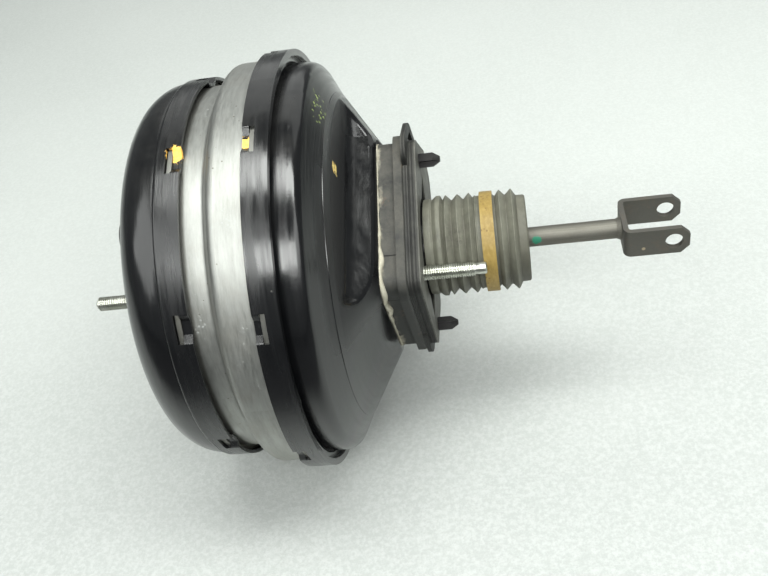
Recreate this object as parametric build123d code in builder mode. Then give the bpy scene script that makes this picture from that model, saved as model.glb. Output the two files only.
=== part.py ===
"""Tandem vacuum brake booster, held together by two through bolts.

Frame: origin at the centre of the face that meets the bulkhead, +X towards the pedal along the
booster's axis, +Y along the clevis pin, +Z up. Millimetres.
Stations are X values; radii are measured from the axis.
"""

import os
from math import atan2, cos, degrees, radians, sin

from build123d import *

os.makedirs("parts", exist_ok=True)

# ---------------------------------------------------------------- driving dimensions
STEEL = 1.8  # sheet of both black shells
ALUMINIUM = 2.4  # wall of the centre housing
RUBBER = 1.4  # diaphragm cloth and rubber
PLATE = 1.6  # diaphragm plates
GAP = 0.3  # free space between parts that move past each other
RUNNING = 0.05  # radial clearance of a running fit
STROKE = 30.0  # travel of the power piston

# Outside of the body, from the bulkhead forwards
SPACER_DEPTH = 21.5
BOSS_DEPTH = 18.2
RIM_DEPTH = 9.9
DRUM_WIDTH = 10.4
REAR_BAND_WIDTH = 13.2
HOUSING_WIDTH = 33.8
FRONT_BAND_WIDTH = 12.9
DOME_DEPTH = 25.0

DRUM_R = 110.0  # outside of the rear shell
BAND_STEP = 8.0  # rear band above the drum
HEM_DEPTH = 3.0  # rear band's lip beyond the radial wall
CREASE_STEP = 17.9  # from the drum in to the crease round the boss
FRONT_STEP = 3.0  # front dome below the drum
FRONT_BAND_STEP = 1.4  # front band above the dome
HOUSING_NARROW_STEP = 6.5  # narrow front part of the centre housing, below the drum
HOUSING_WIDE_STEP = 3.6  # wide rear part of the centre housing, above the drum
HOUSING_WIDE_LENGTH = 22.1
HOUSING_STEP_LENGTH = 5.0
STEP_BEND = 3.5
FLANGE_BEND = 1.3
DOME_ROUNDING = 24.0
DOME_DRAFT = 0.4
RIM_ROUNDING = 6.0
RIM_WALL_BEND = 2.5
FRONT_BAND_RAMP = 1.0
FRONT_BAND_BEND = 0.6

# Sunken part of the boss, in the bulkhead pattern's own directions
POCKET_DEPTH = 16.1  # below the face that meets the spacer
POCKET_FOOT = [(63, 21), (-30, 76), (-52, 125), (0, 160), (140, 90), (125, 25)]
POCKET_MOUTH = [(64, 19), (-20, 58.5), (-62, 125), (0, 160), (140, 90), (125, 14)]
POCKET_OVERRUN = 0.5
POCKET_ROUNDING = 10.0
RIDGE_ROUNDING = 4.0

# Bolts
BOLT_FROM_TUBE = 16.0  # bolt circle's radius beyond the rear tube
BOLT_R = 4.0  # outside of the threads
SHANK_R = 3.6  # between the threaded ends
BOLT_TURN = 163.7  # degrees from +Y, seen along +X
BOLT_REAR_REACH = 33.7  # beyond the bulkhead face
BOLT_FRONT_REACH = 40.1  # beyond the front face
BOLT_HOLE_GAP = 0.3
DOG_POINT_LENGTH = 6.5
DOG_POINT_R = 3.3
BOLT_TIP_CHAMFER = 1.6
DOG_POINT_CHAMFER = 0.8
COLLAR_R = 6.8
COLLAR_WIDTH = 4.0
BOLT_SEAL_R = 6.0
BOLT_SEAL_WIDTH = 4.0

# Clinched windows round both bands
WINDOW_COUNT = 8
WINDOW_TURN = 110.5
WINDOW_LENGTH = 15.0
SLIT_WIDTH = 3.0
TONGUE_RAMP = 3.6  # length of each pressed tongue's sloping ends
TONGUE_BEND = 1.4
TONGUE_LAP = 1.6
CLINCH_GAP = 0.1  # between a tongue and the flange that it holds
LIP_GAP = 0.2

# Front face
SPIGOT_R = 22.5  # bore that takes the master cylinder's spigot
SPIGOT_DEPTH = 14.0
SPIGOT_BEND = 1.6
SPIGOT_FLOOR_BORE_R = 15.0
PORT_CIRCLE_R = 72.0  # vacuum port
PORT_TURN = 125.0
PORT_HOLE_R = 9.0
PORT_BORE_R = 6.0
PORT_LIP_R = 12.0
PORT_REACH = 3.0
PORT_LIP_ROUNDING = 1.6
PORT_INNER_STEP = 1.2
PORT_INNER_LIP = 3.0

# Mounting pattern at the bulkhead
PATTERN_TURN = 48.4  # degrees from +Y to the pattern's own long direction
OUTLINE = [(60, 15), (60, -38), (45, -60), (-33, -60), (-57, -19), (-22, 54)]
OUTLINE_ROUNDING = 9.0
WALL_INSET = 0.6
FLANGE_OUTSET = 3.2
BOSS_OUTSET = 2.6
FLANGE_REAR = 7.0  # rear face of the spacer's flange, in front of the bulkhead
FLANGE_WIDTH = 5.0
SPACER_WALL = 3.0
SPACER_RIB = 2.4
SPACER_HUB_WALL = 3.0
SPACER_BOLT_BOSS_R = 8.0
FLANGE_ROUNDING = 1.2
RELIEF = 1.0  # clearance round the bend at the foot of the neck
EAR_LAYER_WIDTH = 2.5
EAR_OUTSET = 1.6
TOP_EAR = [(56, 34), (74, -3), (62, -50), (40, -40), (40, 20)]
TOP_EAR_HOLE = [(61.5, 8), (61.5, -36), (67.5, -6)]
BOTTOM_EAR = [(-48, 6), (-67, -34), (-46, -56), (-30, -40), (-30, 0)]
EAR_ROUNDING = 9.0
EAR_TIP_ROUNDING = 28.0
THROAT_GAP = 0.8  # between the boot's base ring and the opening in the gasket
THROAT_POINT_REACH = 42.0
THROAT_POINT_HALF_WIDTH = 11.0
THROAT_POINT_ROOT = 0.8  # where the points start, in throat radii
SEALANT_WIDTH = 2.0
SEALANT_HEIGHT = 2.4
CLIPS = [(49.4, -1.0), (-45.0, -27.0)]
CLIP_WIDTH = 8.4
CLIP_BLADE = 1.8
CLIP_REACH = 12.0
CLIP_POINT = 4.0
CLIP_TIP = 3.0
CLIP_ROOT = 4.0

# Neck and valve body
NECK_REACH = 6.0
NECK_BEND = 2.5
GUIDE_SPACING = 1.5
TUBE_R = 19.0  # rear tube of the valve body
TUBE_END = 53.0
TUBE_LIP = 2.4  # lip above the tube
TUBE_LIP_WIDTH = 4.0
SLEEVE_STEP = 2.0  # middle of the valve body above the tube, through the centre wall
NOSE_WALL = 4.5
SHOULDER_STEP = 3.0  # above the sleeve
SHOULDER_WIDTH = 3.8
RETAINER_STEP = 3.4  # above the sleeve
RETAINER_WIDTH = 3.0
NOSE_LENGTH = 10.8
TUBE_WALL = 3.5  # round the valve chamber
CHAMBER_FLOOR = -8.0
RECESS_GAP = 0.5
RECESS_FLOOR = -21.6
PLUNGER_R = 7.0
DISC_R = 13.5
DISC_WIDTH = 5.0
DISC_FLOOR_ABOVE_NOSE = 22.0
ROD_HEAD_WIDTH = 7.0
OUTPUT_ROD_R = 6.0
OUTPUT_ROD_RECESS = 0.5  # tip behind the spigot bore's floor
KEY_WIDTH = 3.2
KEY_BREADTH = 14.0
KEY_REACH = 29.0
KEY_NECK_R = 4.5
KEY_ROUNDING = 3.0
KEY_ROOM = 1.2  # from the key to the shoulder behind the plates
BEARING_THICKNESS = 4.2
BEARING_WIDTH = 8.0
SEAL_WIDTH = 7.0
WALL_BEARING_WIDTH = 4.0
WALL_SEAL_WIDTH = 6.0
WALL_SEAL_START = 0.5  # inside the collar's edge
WALL_BEARING_SPACING = 0.5
ROD_RETAINER_BORE_R = 8.0
ROD_RETAINER_WIDTH = 2.0

# Plates, diaphragms and centre wall
FLAT_MARGIN = 1.5  # flat middle of plates and wall, beyond the bolt seals
PLATE_RIM_STEP = 20.0  # from the drum in to the plates' rims
PLATE_DISH = 20.0
PLATE_LEAN = 1.1  # dish per unit of radius, on the cone between both flats
DISH_BEND = 8.0
CLOTH_OVERHANG = 3.0
CLOTH_ROLL = 3.0
FRONT_PLATE_RIM_STEP = 2.0
WALL_SEAL_THICKNESS = 5.0
WALL_COLLAR_REACH = 9.0
WALL_COLLAR_BEND = 2.0
WALL_FOOT_INSET = 2.5  # wall's foot in front of the housing's step
COLLAR_ROOM = 1.8  # from the collar's edge to the front diaphragm
STROKE_ROOM = 2.0  # left in front of the rear plate at full stroke
BEAD_WIDTH = 2.6
BEAD_HEIGHT = 8.0
FRONT_BEAD_WIDTH = 4.4
FRONT_BEAD_HEIGHT = 6.0
FRONT_BEAD_FROM_DOME = 1.5
BEAD_LAP = 0.5  # cloth's end inside its bead
SEAL_START = 0.6  # bolt seals in front of their plate

# Springs
RETURN_WIRE = 3.0
RETURN_TURNS = 7
POPPET_SPRING_GAP = 2.2
POPPET_WIRE = 1.2
POPPET_TURNS = 4
INPUT_SPRING_GAP = 3.2
INPUT_WIRE = 1.8
INPUT_TURNS = 5

# Valve parts in the chamber
POPPET_GAP = 0.4
POPPET_FACE = 2.4
POPPET_ROOM = 1.1  # round the push rod
POPPET_RIM_GAP = 1.1
POPPET_WALL = 1.4
POPPET_LENGTH = 15.0
POPPET_FOOT = 3.0
STOP_WIDTH = 4.0
ROD_ROOM = 3.1  # round the push rod, for its tilt
INPUT_SPRING_LENGTH = 18.0
WASHER_RIM_GAP = 2.5
WASHER_WIDTH = 2.0
FILTER_WIDTH = 10.0
SILENCER_WIDTH = 5.6
SILENCER_INSET = 1.0  # inside the tube's end
SOFT_GAP = 0.1

# Plunger and push rod
BALL_CENTRE = -14.6
BALL_R = 5.5
BALL_NECK_R = 3.9
BALL_NECK_LENGTH = 12.0
SOCKET_MOUTH_R = 4.7
PLUNGER_HEAD_R = 10.5
PLUNGER_HEAD_FRONT = -19.2
PLUNGER_TIP_GAP = 2.5
INPUT_TRAVEL = 2.0
ROD_R = 5.5
CLEVIS_FACE = 107.8
CLEVIS_LENGTH = 34.6
CLEVIS_STRAP = 2.8
CLEVIS_GAP = 25.0
CLEVIS_HEIGHT = 16.8
CLEVIS_BEND = 4.2
CLEVIS_HOLE_R = 4.75
CLEVIS_HOLE_FROM_END = 8.2
CLEVIS_CORNER = 4.6
ROD_FLARE = 1.2

# Boot
BOOT_WALL = 1.6
BOOT_START = 0.8
BOOT_BASE_RIM = 2.2  # base ring above the neck
BOOT_BASE_MARGIN = 0.4  # base ring beyond the neck's end
BOOT_ROLL_OFFSET = 2.8  # first, rounded fold beyond the base ring
BOOT_CREST_STEP = 3.4  # crests above the neck
BOOT_VALLEY_STEP = 0.1  # valleys below the neck's outside
BOOT_LAND_STEP = 1.1
BOOT_LAND_WIDTH = 7.2
BOOT_BAND_THICKNESS = 1.8
BOOT_FRONT_FOLDS = 3
BOOT_REAR_FOLDS = 2
BOOT_END_WALL = 4.1  # beyond the tube's end
BOOT_END_RIM = 4.9
BOOT_LIP_GAP = 1.2
BOOT_MOUTH_ROOM = 4.5  # round the push rod

# ---------------------------------------------------------------- stations and radii that follow
HUB = -SPACER_DEPTH
CREASE = HUB - BOSS_DEPTH
RIM = CREASE - RIM_DEPTH
BAND_REAR = RIM - DRUM_WIDTH
BAND_FRONT = BAND_REAR - REAR_BAND_WIDTH
FRONT_BAND_REAR = BAND_FRONT - HOUSING_WIDTH
DOME_REAR = FRONT_BAND_REAR - FRONT_BAND_WIDTH
FRONT = DOME_REAR - DOME_DEPTH

BOLT_CIRCLE_R = TUBE_R + BOLT_FROM_TUBE
BAND_R = DRUM_R + BAND_STEP
CREASE_R = DRUM_R - CREASE_STEP
CREASE_FILL = STEEL * 1.2  # joins the drum's wall to the boss under the crease
CREASE_FILL_WIDTH = STEEL * 1.4
DOME_R = DRUM_R - FRONT_STEP
FRONT_BAND_R = DOME_R + FRONT_BAND_STEP
NARROW_R = DRUM_R - HOUSING_NARROW_STEP
WIDE_R = DRUM_R + HOUSING_WIDE_STEP
HUB_INSIDE = HUB - STEEL
PLATE_RIM_R = DRUM_R - PLATE_RIM_STEP
FLAT_R = BOLT_CIRCLE_R + BOLT_SEAL_R + FLAT_MARGIN
CONE_R = FLAT_R + PLATE_DISH / PLATE_LEAN
TUBE_LIP_R = TUBE_R + TUBE_LIP
SLEEVE_R = TUBE_R + SLEEVE_STEP
SHOULDER_R = SLEEVE_R + SHOULDER_STEP
RETAINER_R = SLEEVE_R + RETAINER_STEP
NOSE_R = DISC_R + NOSE_WALL
CHAMBER_R = TUBE_R - TUBE_WALL
RECESS_R = PLUNGER_HEAD_R + RECESS_GAP
NECK_R = TUBE_R + BEARING_THICKNESS + STEEL
THROAT_R = NECK_R + BOOT_BASE_RIM + THROAT_GAP
WALL_COLLAR_R = SLEEVE_R + WALL_SEAL_THICKNESS + ALUMINIUM
POPPET_R = CHAMBER_R - POPPET_RIM_GAP
POPPET_BORE_R = ROD_R + POPPET_ROOM
STOP_BORE_R = ROD_R + ROD_ROOM
WASHER_R = CHAMBER_R - WASHER_RIM_GAP
INPUT_SPRING_R = CHAMBER_R - INPUT_WIRE / 2 - INPUT_SPRING_GAP
POPPET_SPRING_R = POPPET_R - POPPET_WALL - POPPET_WIRE / 2 - POPPET_SPRING_GAP
FRONT_INSIDE = FRONT + STEEL

BAND_WALL = BAND_REAR - HEM_DEPTH - STEEL  # front face of the rear shell's radial wall
HOUSING_REAR = BAND_WALL - BEAD_WIDTH
HOUSING_FRONT = DOME_REAR + FRONT_BEAD_WIDTH + FRONT_BEAD_FROM_DOME

KEY_REAR = HUB_INSIDE - GAP
SHOULDER_REAR = KEY_REAR - KEY_WIDTH - KEY_ROOM
REAR_CLOTH = SHOULDER_REAR - SHOULDER_WIDTH
REAR_PLATE = REAR_CLOTH - RUBBER - PLATE / 2
WALL = REAR_PLATE - PLATE / 2 - RETAINER_WIDTH - STROKE - STROKE_ROOM - ALUMINIUM / 2
FRONT_CLOTH = WALL - ALUMINIUM / 2 - WALL_COLLAR_REACH - COLLAR_ROOM
FRONT_PLATE = FRONT_CLOTH - RUBBER - PLATE / 2
FRONT_RETAINER = FRONT_PLATE - PLATE / 2
NOSE = FRONT_RETAINER - NOSE_LENGTH
DISC_FLOOR = NOSE + DISC_FLOOR_ABOVE_NOSE
SPIGOT_FLOOR = FRONT + SPIGOT_DEPTH
RETURN_SPRING_R = BOLT_CIRCLE_R - COLLAR_R - RETURN_WIRE / 2 - GAP - SOFT_GAP


# ---------------------------------------------------------------- shared helpers
def facing(station):
    """Plane across the axis at a station, its own X along +Y and its normal along +X."""
    return Plane(origin=(station, 0, 0), x_dir=(0, 1, 0), z_dir=(1, 0, 0))


def pattern(station):
    """Plane across the axis at a station, turned with the bulkhead pattern."""
    turn = radians(PATTERN_TURN)
    return Plane(origin=(station, 0, 0), x_dir=(0, cos(turn), sin(turn)), z_dir=(1, 0, 0))


def on_circle(radius, turn):
    """Point across the axis at a radius and an angle from +Y."""
    return (radius * cos(radians(turn)), radius * sin(radians(turn)))


BOLTS = [on_circle(BOLT_CIRCLE_R, BOLT_TURN), on_circle(BOLT_CIRCLE_R, BOLT_TURN + 180)]
PORT = on_circle(PORT_CIRCLE_R, PORT_TURN)


def section(*corners):
    """Closed section through (station, radius) corners, ready to turn about the axis."""
    with BuildSketch(Plane.XZ) as drawn:
        with BuildLine():
            Polyline(*corners, close=True)
        make_face()
    return drawn.sketch


def sheet(thickness, path, bends):
    """Section of bent sheet whose middle follows a (station, radius) path."""
    with BuildSketch(Plane.XZ) as drawn:
        with BuildLine():
            FilletPolyline(*path, radius=bends)
        trace(line_width=thickness)
    return drawn.sketch


def ring(front, rear, inner, outer):
    """Plain ring between two stations and two radii."""
    return section((front, inner), (rear, inner), (rear, outer), (front, outer))


def outline_sketch(station, outset):
    """The bulkhead pattern's outline, grown outwards by a distance."""
    with BuildSketch(pattern(station)) as drawn:
        with BuildLine():
            FilletPolyline(*OUTLINE, radius=OUTLINE_ROUNDING, close=True)
        make_face()
        offset(amount=outset)
    return drawn.sketch


def discs(station, places, radius):
    """Equal round sketches across the axis at the given places."""
    with BuildSketch(facing(station)) as drawn:
        with Locations(*places):
            Circle(radius)
    return drawn.sketch


def coil(front, rear, radius, wire, turns):
    """Helical wire between two stations, its ends closed against both seats."""
    reach = rear - front - wire
    with BuildPart() as made:
        with BuildLine():
            path = Helix(
                pitch=reach / turns,
                height=reach,
                radius=radius,
                center=(front + wire / 2, 0, 0),
                direction=(1, 0, 0),
            )
        with BuildSketch(Plane(origin=path @ 0, z_dir=path % 0)):
            Circle(wire / 2)
        sweep(is_frenet=True)
    return made.part


def save(sub_part, name):
    """Labels a finished piece and writes it as a STEP file."""
    sub_part.label = name
    export_step(sub_part, f"parts/{name}.step")


def window_turns():
    """Angles of the windows round a band."""
    return [WINDOW_TURN + index * 360 / WINDOW_COUNT for index in range(WINDOW_COUNT)]


def band_windows(slit_edge, free_edge, middle_r):
    """Cutters for the windows round a band, each from its slit's far edge past the band's free edge."""
    run = free_edge - slit_edge
    with BuildPart() as cutters:
        for turn in window_turns():
            out = Vector(0, cos(radians(turn)), sin(radians(turn)))
            middle = Vector(slit_edge + run, 0, 0) + out * middle_r
            with BuildSketch(Plane(origin=middle, x_dir=(1, 0, 0), z_dir=out).offset(-BAND_STEP / 2)):
                Rectangle(2 * abs(run), WINDOW_LENGTH)
            extrude(amount=BAND_STEP)
    return cutters.part


def tongues(inner_edge, free_edge, band_r, housing_r):
    """Strips between the slits and a band's free edge, pressed in behind the housing's flange."""
    level_r = band_r - STEEL / 2
    pressed_r = housing_r + GAP + STEEL / 2
    lap = degrees((WINDOW_LENGTH / 2 + TONGUE_LAP) / level_r)
    half = degrees(WINDOW_LENGTH / 2 / level_r)
    pressed_half = degrees((WINDOW_LENGTH / 2 - TONGUE_RAMP) / level_r)
    with BuildPart() as made:
        for turn in window_turns():
            path = [(level_r, -lap), (level_r, -half), (pressed_r, -pressed_half)]
            path += [(radius, -angle) for radius, angle in reversed(path)]
            corners = [on_circle(radius, turn + angle) for radius, angle in path]
            with BuildSketch(facing(min(inner_edge, free_edge))):
                with BuildLine():
                    FilletPolyline(*corners, radius=TONGUE_BEND)
                trace(line_width=STEEL)
            extrude(amount=abs(free_edge - inner_edge))
    return made.part


# ---------------------------------------------------------------- rear shell
RIM_PATH = [
    (CREASE - STEEL / 2, CREASE_R - STEEL / 2),
    (RIM, DRUM_R - STEEL / 2),
    (BAND_WALL + STEEL / 2, DRUM_R - STEEL / 2),
    (BAND_WALL + STEEL / 2, BAND_R - STEEL),
]
NECK_PATH = [
    (NECK_REACH, NECK_R - STEEL / 2),
    (HUB - STEEL / 2, NECK_R - STEEL / 2),
    (HUB - STEEL / 2, BOLT_CIRCLE_R),
]



def boss_body():
    """Solid boss from the round crease to the spacer's outline."""
    with BuildPart() as made:
        with BuildSketch(pattern(CREASE)):
            Circle(CREASE_R)
        add(outline_sketch(HUB, BOSS_OUTSET))
        loft()
    return made.part


def pocket(grow):
    """Cutter for the boss's sunken part, grown by the sheet's thickness for the inside."""
    floor = HUB - POCKET_DEPTH - grow
    with BuildPart() as made:
        for station, corners in ((floor, POCKET_FOOT), (HUB + POCKET_OVERRUN, POCKET_MOUTH)):
            with BuildSketch(pattern(station)):
                with BuildLine():
                    Polyline(*corners, close=True)
                make_face()
                if grow:
                    offset(amount=grow, kind=Kind.INTERSECTION)
        loft(ruled=True)
        near = [edge for edge in made.faces().sort_by(Axis.X)[0].edges() if axis_distance(edge) < DRUM_R]
        fillet(near, POCKET_ROUNDING + grow)
    return made.part


def axis_distance(edge):
    """Distance of an edge's middle from the booster's axis."""
    middle = edge.position_at(0.5)
    return (middle.Y**2 + middle.Z**2) ** 0.5


REAR_TONGUE = HOUSING_REAR - ALUMINIUM - CLINCH_GAP
with BuildPart() as rear_shell:
    add(boss_body())
    add(pocket(0), mode=Mode.SUBTRACT)
    cut_edges = rear_shell.edges(Select.NEW)
    ridges = [edge for edge in cut_edges if CREASE + SOFT_GAP < edge.center().X < HUB - SOFT_GAP]
    fillet(ridges, RIDGE_ROUNDING)
    add(boss_body().moved(Location((-STEEL, 0, 0))) - pocket(STEEL), mode=Mode.SUBTRACT)
    with BuildSketch(facing(HUB - STEEL * 2)):
        Circle(NECK_R - STEEL)
    extrude(amount=STEEL * 3, mode=Mode.SUBTRACT)
    revolve(sheet(STEEL, NECK_PATH, NECK_BEND), axis=Axis.X)
    revolve(sheet(STEEL, RIM_PATH, [RIM_ROUNDING, RIM_WALL_BEND]), axis=Axis.X)
    revolve(ring(CREASE - CREASE_FILL, CREASE, CREASE_R - CREASE_FILL_WIDTH, CREASE_R), axis=Axis.X)
    # band with its hemmed rear edge and clinched tongues
    revolve(ring(BAND_FRONT, BAND_REAR, BAND_R - STEEL, BAND_R), axis=Axis.X)
    revolve(ring(BAND_WALL, BAND_REAR, BAND_R - 2 * STEEL, BAND_R), axis=Axis.X)
    add(band_windows(REAR_TONGUE + SLIT_WIDTH, BAND_FRONT, BAND_R - STEEL), mode=Mode.SUBTRACT)
    add(tongues(REAR_TONGUE, BAND_FRONT, BAND_R, WIDE_R))
    extrude(discs(HUB - STEEL * 2, BOLTS, BOLT_R + BOLT_HOLE_GAP), amount=STEEL * 3, mode=Mode.SUBTRACT)
save(rear_shell.part, "rear_shell")

# ---------------------------------------------------------------- front shell
FRONT_PATH = [
    (SPIGOT_FLOOR - STEEL / 2, SPIGOT_FLOOR_BORE_R),
    (SPIGOT_FLOOR - STEEL / 2, SPIGOT_R + STEEL / 2),
    (FRONT + STEEL / 2, SPIGOT_R + STEEL / 2),
    (FRONT + STEEL / 2, DOME_R - STEEL / 2 - DOME_DRAFT),
    (DOME_REAR, DOME_R - STEEL / 2),
    (DOME_REAR + FRONT_BAND_RAMP, FRONT_BAND_R - STEEL / 2),
    (FRONT_BAND_REAR, FRONT_BAND_R - STEEL / 2),
]
FRONT_BENDS = [SPIGOT_BEND, SPIGOT_BEND, DOME_ROUNDING - STEEL / 2, FRONT_BAND_BEND, FRONT_BAND_BEND]
FRONT_TONGUE = HOUSING_FRONT + ALUMINIUM + CLINCH_GAP
with BuildPart() as front_shell:
    revolve(sheet(STEEL, FRONT_PATH, FRONT_BENDS), axis=Axis.X)
    add(band_windows(FRONT_TONGUE - SLIT_WIDTH, FRONT_BAND_REAR, FRONT_BAND_R - STEEL), mode=Mode.SUBTRACT)
    add(tongues(FRONT_TONGUE, FRONT_BAND_REAR, FRONT_BAND_R, NARROW_R))
    extrude(discs(FRONT - STEEL, BOLTS, BOLT_R + BOLT_HOLE_GAP), amount=STEEL * 3, mode=Mode.SUBTRACT)
    extrude(discs(FRONT - STEEL, [PORT], PORT_HOLE_R), amount=STEEL * 3, mode=Mode.SUBTRACT)
save(front_shell.part, "front_shell")

# ---------------------------------------------------------------- centre housing
NARROW_MIDDLE = NARROW_R - ALUMINIUM / 2
WIDE_MIDDLE = WIDE_R - ALUMINIUM / 2
STEP_START = BAND_FRONT - HOUSING_WIDE_LENGTH
HOUSING_PATH = [
    (HOUSING_FRONT + ALUMINIUM / 2, FRONT_BAND_R - STEEL - LIP_GAP),
    (HOUSING_FRONT + ALUMINIUM / 2, NARROW_MIDDLE),
    (STEP_START, NARROW_MIDDLE),
    (STEP_START + HOUSING_STEP_LENGTH, WIDE_MIDDLE),
    (HOUSING_REAR - ALUMINIUM / 2, WIDE_MIDDLE),
    (HOUSING_REAR - ALUMINIUM / 2, BAND_R - STEEL - LIP_GAP),
]
WALL_PATH = [
    (WALL - WALL_COLLAR_REACH - ALUMINIUM / 2, WALL_COLLAR_R - ALUMINIUM / 2),
    (WALL, WALL_COLLAR_R - ALUMINIUM / 2),
    (WALL, FLAT_R),
    (WALL - PLATE_DISH, CONE_R),
    (WALL - PLATE_DISH, PLATE_RIM_R),
    (STEP_START - WALL_FOOT_INSET, NARROW_MIDDLE),
]
with BuildPart() as centre_housing:
    revolve(sheet(ALUMINIUM, HOUSING_PATH, [FLANGE_BEND, STEP_BEND, STEP_BEND, FLANGE_BEND]), axis=Axis.X)
    revolve(sheet(ALUMINIUM, WALL_PATH, [WALL_COLLAR_BEND, DISH_BEND, DISH_BEND, DISH_BEND]), axis=Axis.X)
    extrude(discs(WALL - ALUMINIUM, BOLTS, BOLT_SEAL_R), amount=ALUMINIUM * 2, mode=Mode.SUBTRACT)
save(centre_housing.part, "centre_housing")

# ---------------------------------------------------------------- through bolts
with BuildPart() as tie_bolts:
    extrude(discs(FRONT - BOLT_FRONT_REACH, BOLTS, BOLT_R), amount=BOLT_FRONT_REACH)
    extrude(discs(FRONT, BOLTS, SHANK_R), amount=-FRONT)
    extrude(discs(0, BOLTS, BOLT_R), amount=BOLT_REAR_REACH - DOG_POINT_LENGTH)
    extrude(discs(BOLT_REAR_REACH - DOG_POINT_LENGTH, BOLTS, DOG_POINT_R), amount=DOG_POINT_LENGTH)
    extrude(discs(FRONT_INSIDE, BOLTS, COLLAR_R), amount=COLLAR_WIDTH)
    extrude(discs(HUB_INSIDE - COLLAR_WIDTH, BOLTS, COLLAR_R), amount=COLLAR_WIDTH)
    chamfer(tie_bolts.faces().sort_by(Axis.X)[:2].edges(), BOLT_TIP_CHAMFER)
    chamfer(tie_bolts.faces().sort_by(Axis.X)[-2:].edges(), DOG_POINT_CHAMFER)
save(tie_bolts.part, "tie_bolts")


def bolt_rings(front, width):
    """Rubber rings that run on both bolts."""
    with BuildPart() as rings:
        extrude(discs(front, BOLTS, BOLT_SEAL_R), amount=width)
        extrude(discs(front, BOLTS, SHANK_R + RUNNING), amount=width, mode=Mode.SUBTRACT)
    return rings.part


save(bolt_rings(WALL - BOLT_SEAL_WIDTH / 2, BOLT_SEAL_WIDTH), "wall_bolt_seals")

# ---------------------------------------------------------------- spacer
FLANGE_FRONT = -FLANGE_REAR - FLANGE_WIDTH
with BuildPart() as spacer:
    # hub, bolt bosses and ribs, trimmed inside the outline
    hub_r = NECK_R + GAP + SPACER_HUB_WALL
    with BuildSketch(facing(HUB)):
        Circle(hub_r)
        with Locations(*BOLTS):
            Circle(SPACER_BOLT_BOSS_R)
    extrude(amount=FLANGE_FRONT - HUB)
    with BuildSketch(pattern(HUB)):
        for corner in OUTLINE:
            length = Vector(*corner).length - hub_r
            heading = degrees(atan2(corner[1], corner[0]))
            with Locations(Rotation(0, 0, heading)):
                with Locations((hub_r + length / 2, 0)):
                    Rectangle(length + SPACER_RIB, SPACER_RIB)
    extrude(amount=FLANGE_FRONT - HUB)
    inner_outline = outline_sketch(HUB, -WALL_INSET - SPACER_WALL)
    extrude(outline_sketch(HUB, -WALL_INSET - SPACER_WALL / 2), amount=SPACER_DEPTH, mode=Mode.INTERSECT)
    # wall round the edge, and the flange at the rear
    extrude(outline_sketch(HUB, -WALL_INSET) - inner_outline, amount=-FLANGE_REAR - HUB)
    extrude(outline_sketch(FLANGE_FRONT, FLANGE_OUTSET), amount=FLANGE_WIDTH)
    fillet(spacer.faces().sort_by(Axis.X)[-1].outer_wire().edges(), FLANGE_ROUNDING)
    with BuildSketch(facing(HUB)):
        Circle(NECK_R + GAP)
        with Locations(*BOLTS):
            Circle(BOLT_R + BOLT_HOLE_GAP)
    extrude(amount=SPACER_DEPTH, mode=Mode.SUBTRACT)
    relief_r = NECK_R + NECK_BEND + RELIEF
    relief_end = HUB + relief_r - NECK_R
    relief = section((HUB, 0), (HUB, relief_r), (relief_end, NECK_R), (relief_end, 0))
    revolve(relief, axis=Axis.X, mode=Mode.SUBTRACT)
save(spacer.part, "spacer")

# ---------------------------------------------------------------- gasket at the bulkhead
EAR_ROUNDINGS = [EAR_ROUNDING, EAR_TIP_ROUNDING] + 3 * [EAR_ROUNDING]
with BuildPart() as bulkhead_gasket:
    extrude(outline_sketch(-FLANGE_REAR, 0), amount=FLANGE_REAR)
    with BuildSketch(pattern(-FLANGE_REAR)):
        for ear in (TOP_EAR, BOTTOM_EAR):
            with BuildLine():
                FilletPolyline(*ear, radius=EAR_ROUNDINGS, close=True)
            make_face()
        with BuildLine():
            Polyline(*TOP_EAR_HOLE, close=True)
        make_face(mode=Mode.SUBTRACT)
    extrude(amount=EAR_LAYER_WIDTH)
    extrude(outline_sketch(-FLANGE_REAR, EAR_OUTSET), amount=EAR_LAYER_WIDTH)
    with BuildSketch(pattern(-FLANGE_REAR)):
        Circle(THROAT_R)
        for side in (1, -1):
            with BuildLine():
                Polyline(
                    (side * THROAT_POINT_REACH, -THROAT_POINT_HALF_WIDTH),
                    (side * THROAT_R * THROAT_POINT_ROOT, -THROAT_POINT_HALF_WIDTH * 2),
                    (side * THROAT_R * THROAT_POINT_ROOT, THROAT_POINT_HALF_WIDTH),
                    close=True,
                )
            make_face()
    extrude(amount=FLANGE_REAR, mode=Mode.SUBTRACT)
    extrude(discs(-FLANGE_REAR, BOLTS, BOLT_R + BOLT_HOLE_GAP), amount=FLANGE_REAR, mode=Mode.SUBTRACT)
    with BuildSketch(pattern(-CLIP_ROOT)):
        with Locations(*CLIPS):
            Circle(CLIP_WIDTH / 2)
    extrude(amount=CLIP_ROOT, mode=Mode.SUBTRACT)
save(bulkhead_gasket.part, "bulkhead_gasket")

# ---------------------------------------------------------------- push-in clips
with BuildPart() as push_in_clips:
    blade_half = CLIP_WIDTH / 2 - 2 * SOFT_GAP
    blade = [(-CLIP_ROOT, -blade_half), (CLIP_REACH - CLIP_POINT, -blade_half), (CLIP_REACH, -CLIP_TIP / 2)]
    blade += [(station, -across) for station, across in reversed(blade)]
    for place in CLIPS:
        centre = pattern(0).from_local_coords((*place, 0))
        for across in (pattern(0).x_dir, pattern(0).y_dir):
            with BuildSketch(Plane(origin=centre, x_dir=(1, 0, 0), z_dir=across)):
                with BuildLine():
                    Polyline(*blade, close=True)
                make_face()
            extrude(amount=CLIP_BLADE / 2, both=True)
save(push_in_clips.part, "push_in_clips")

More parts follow.
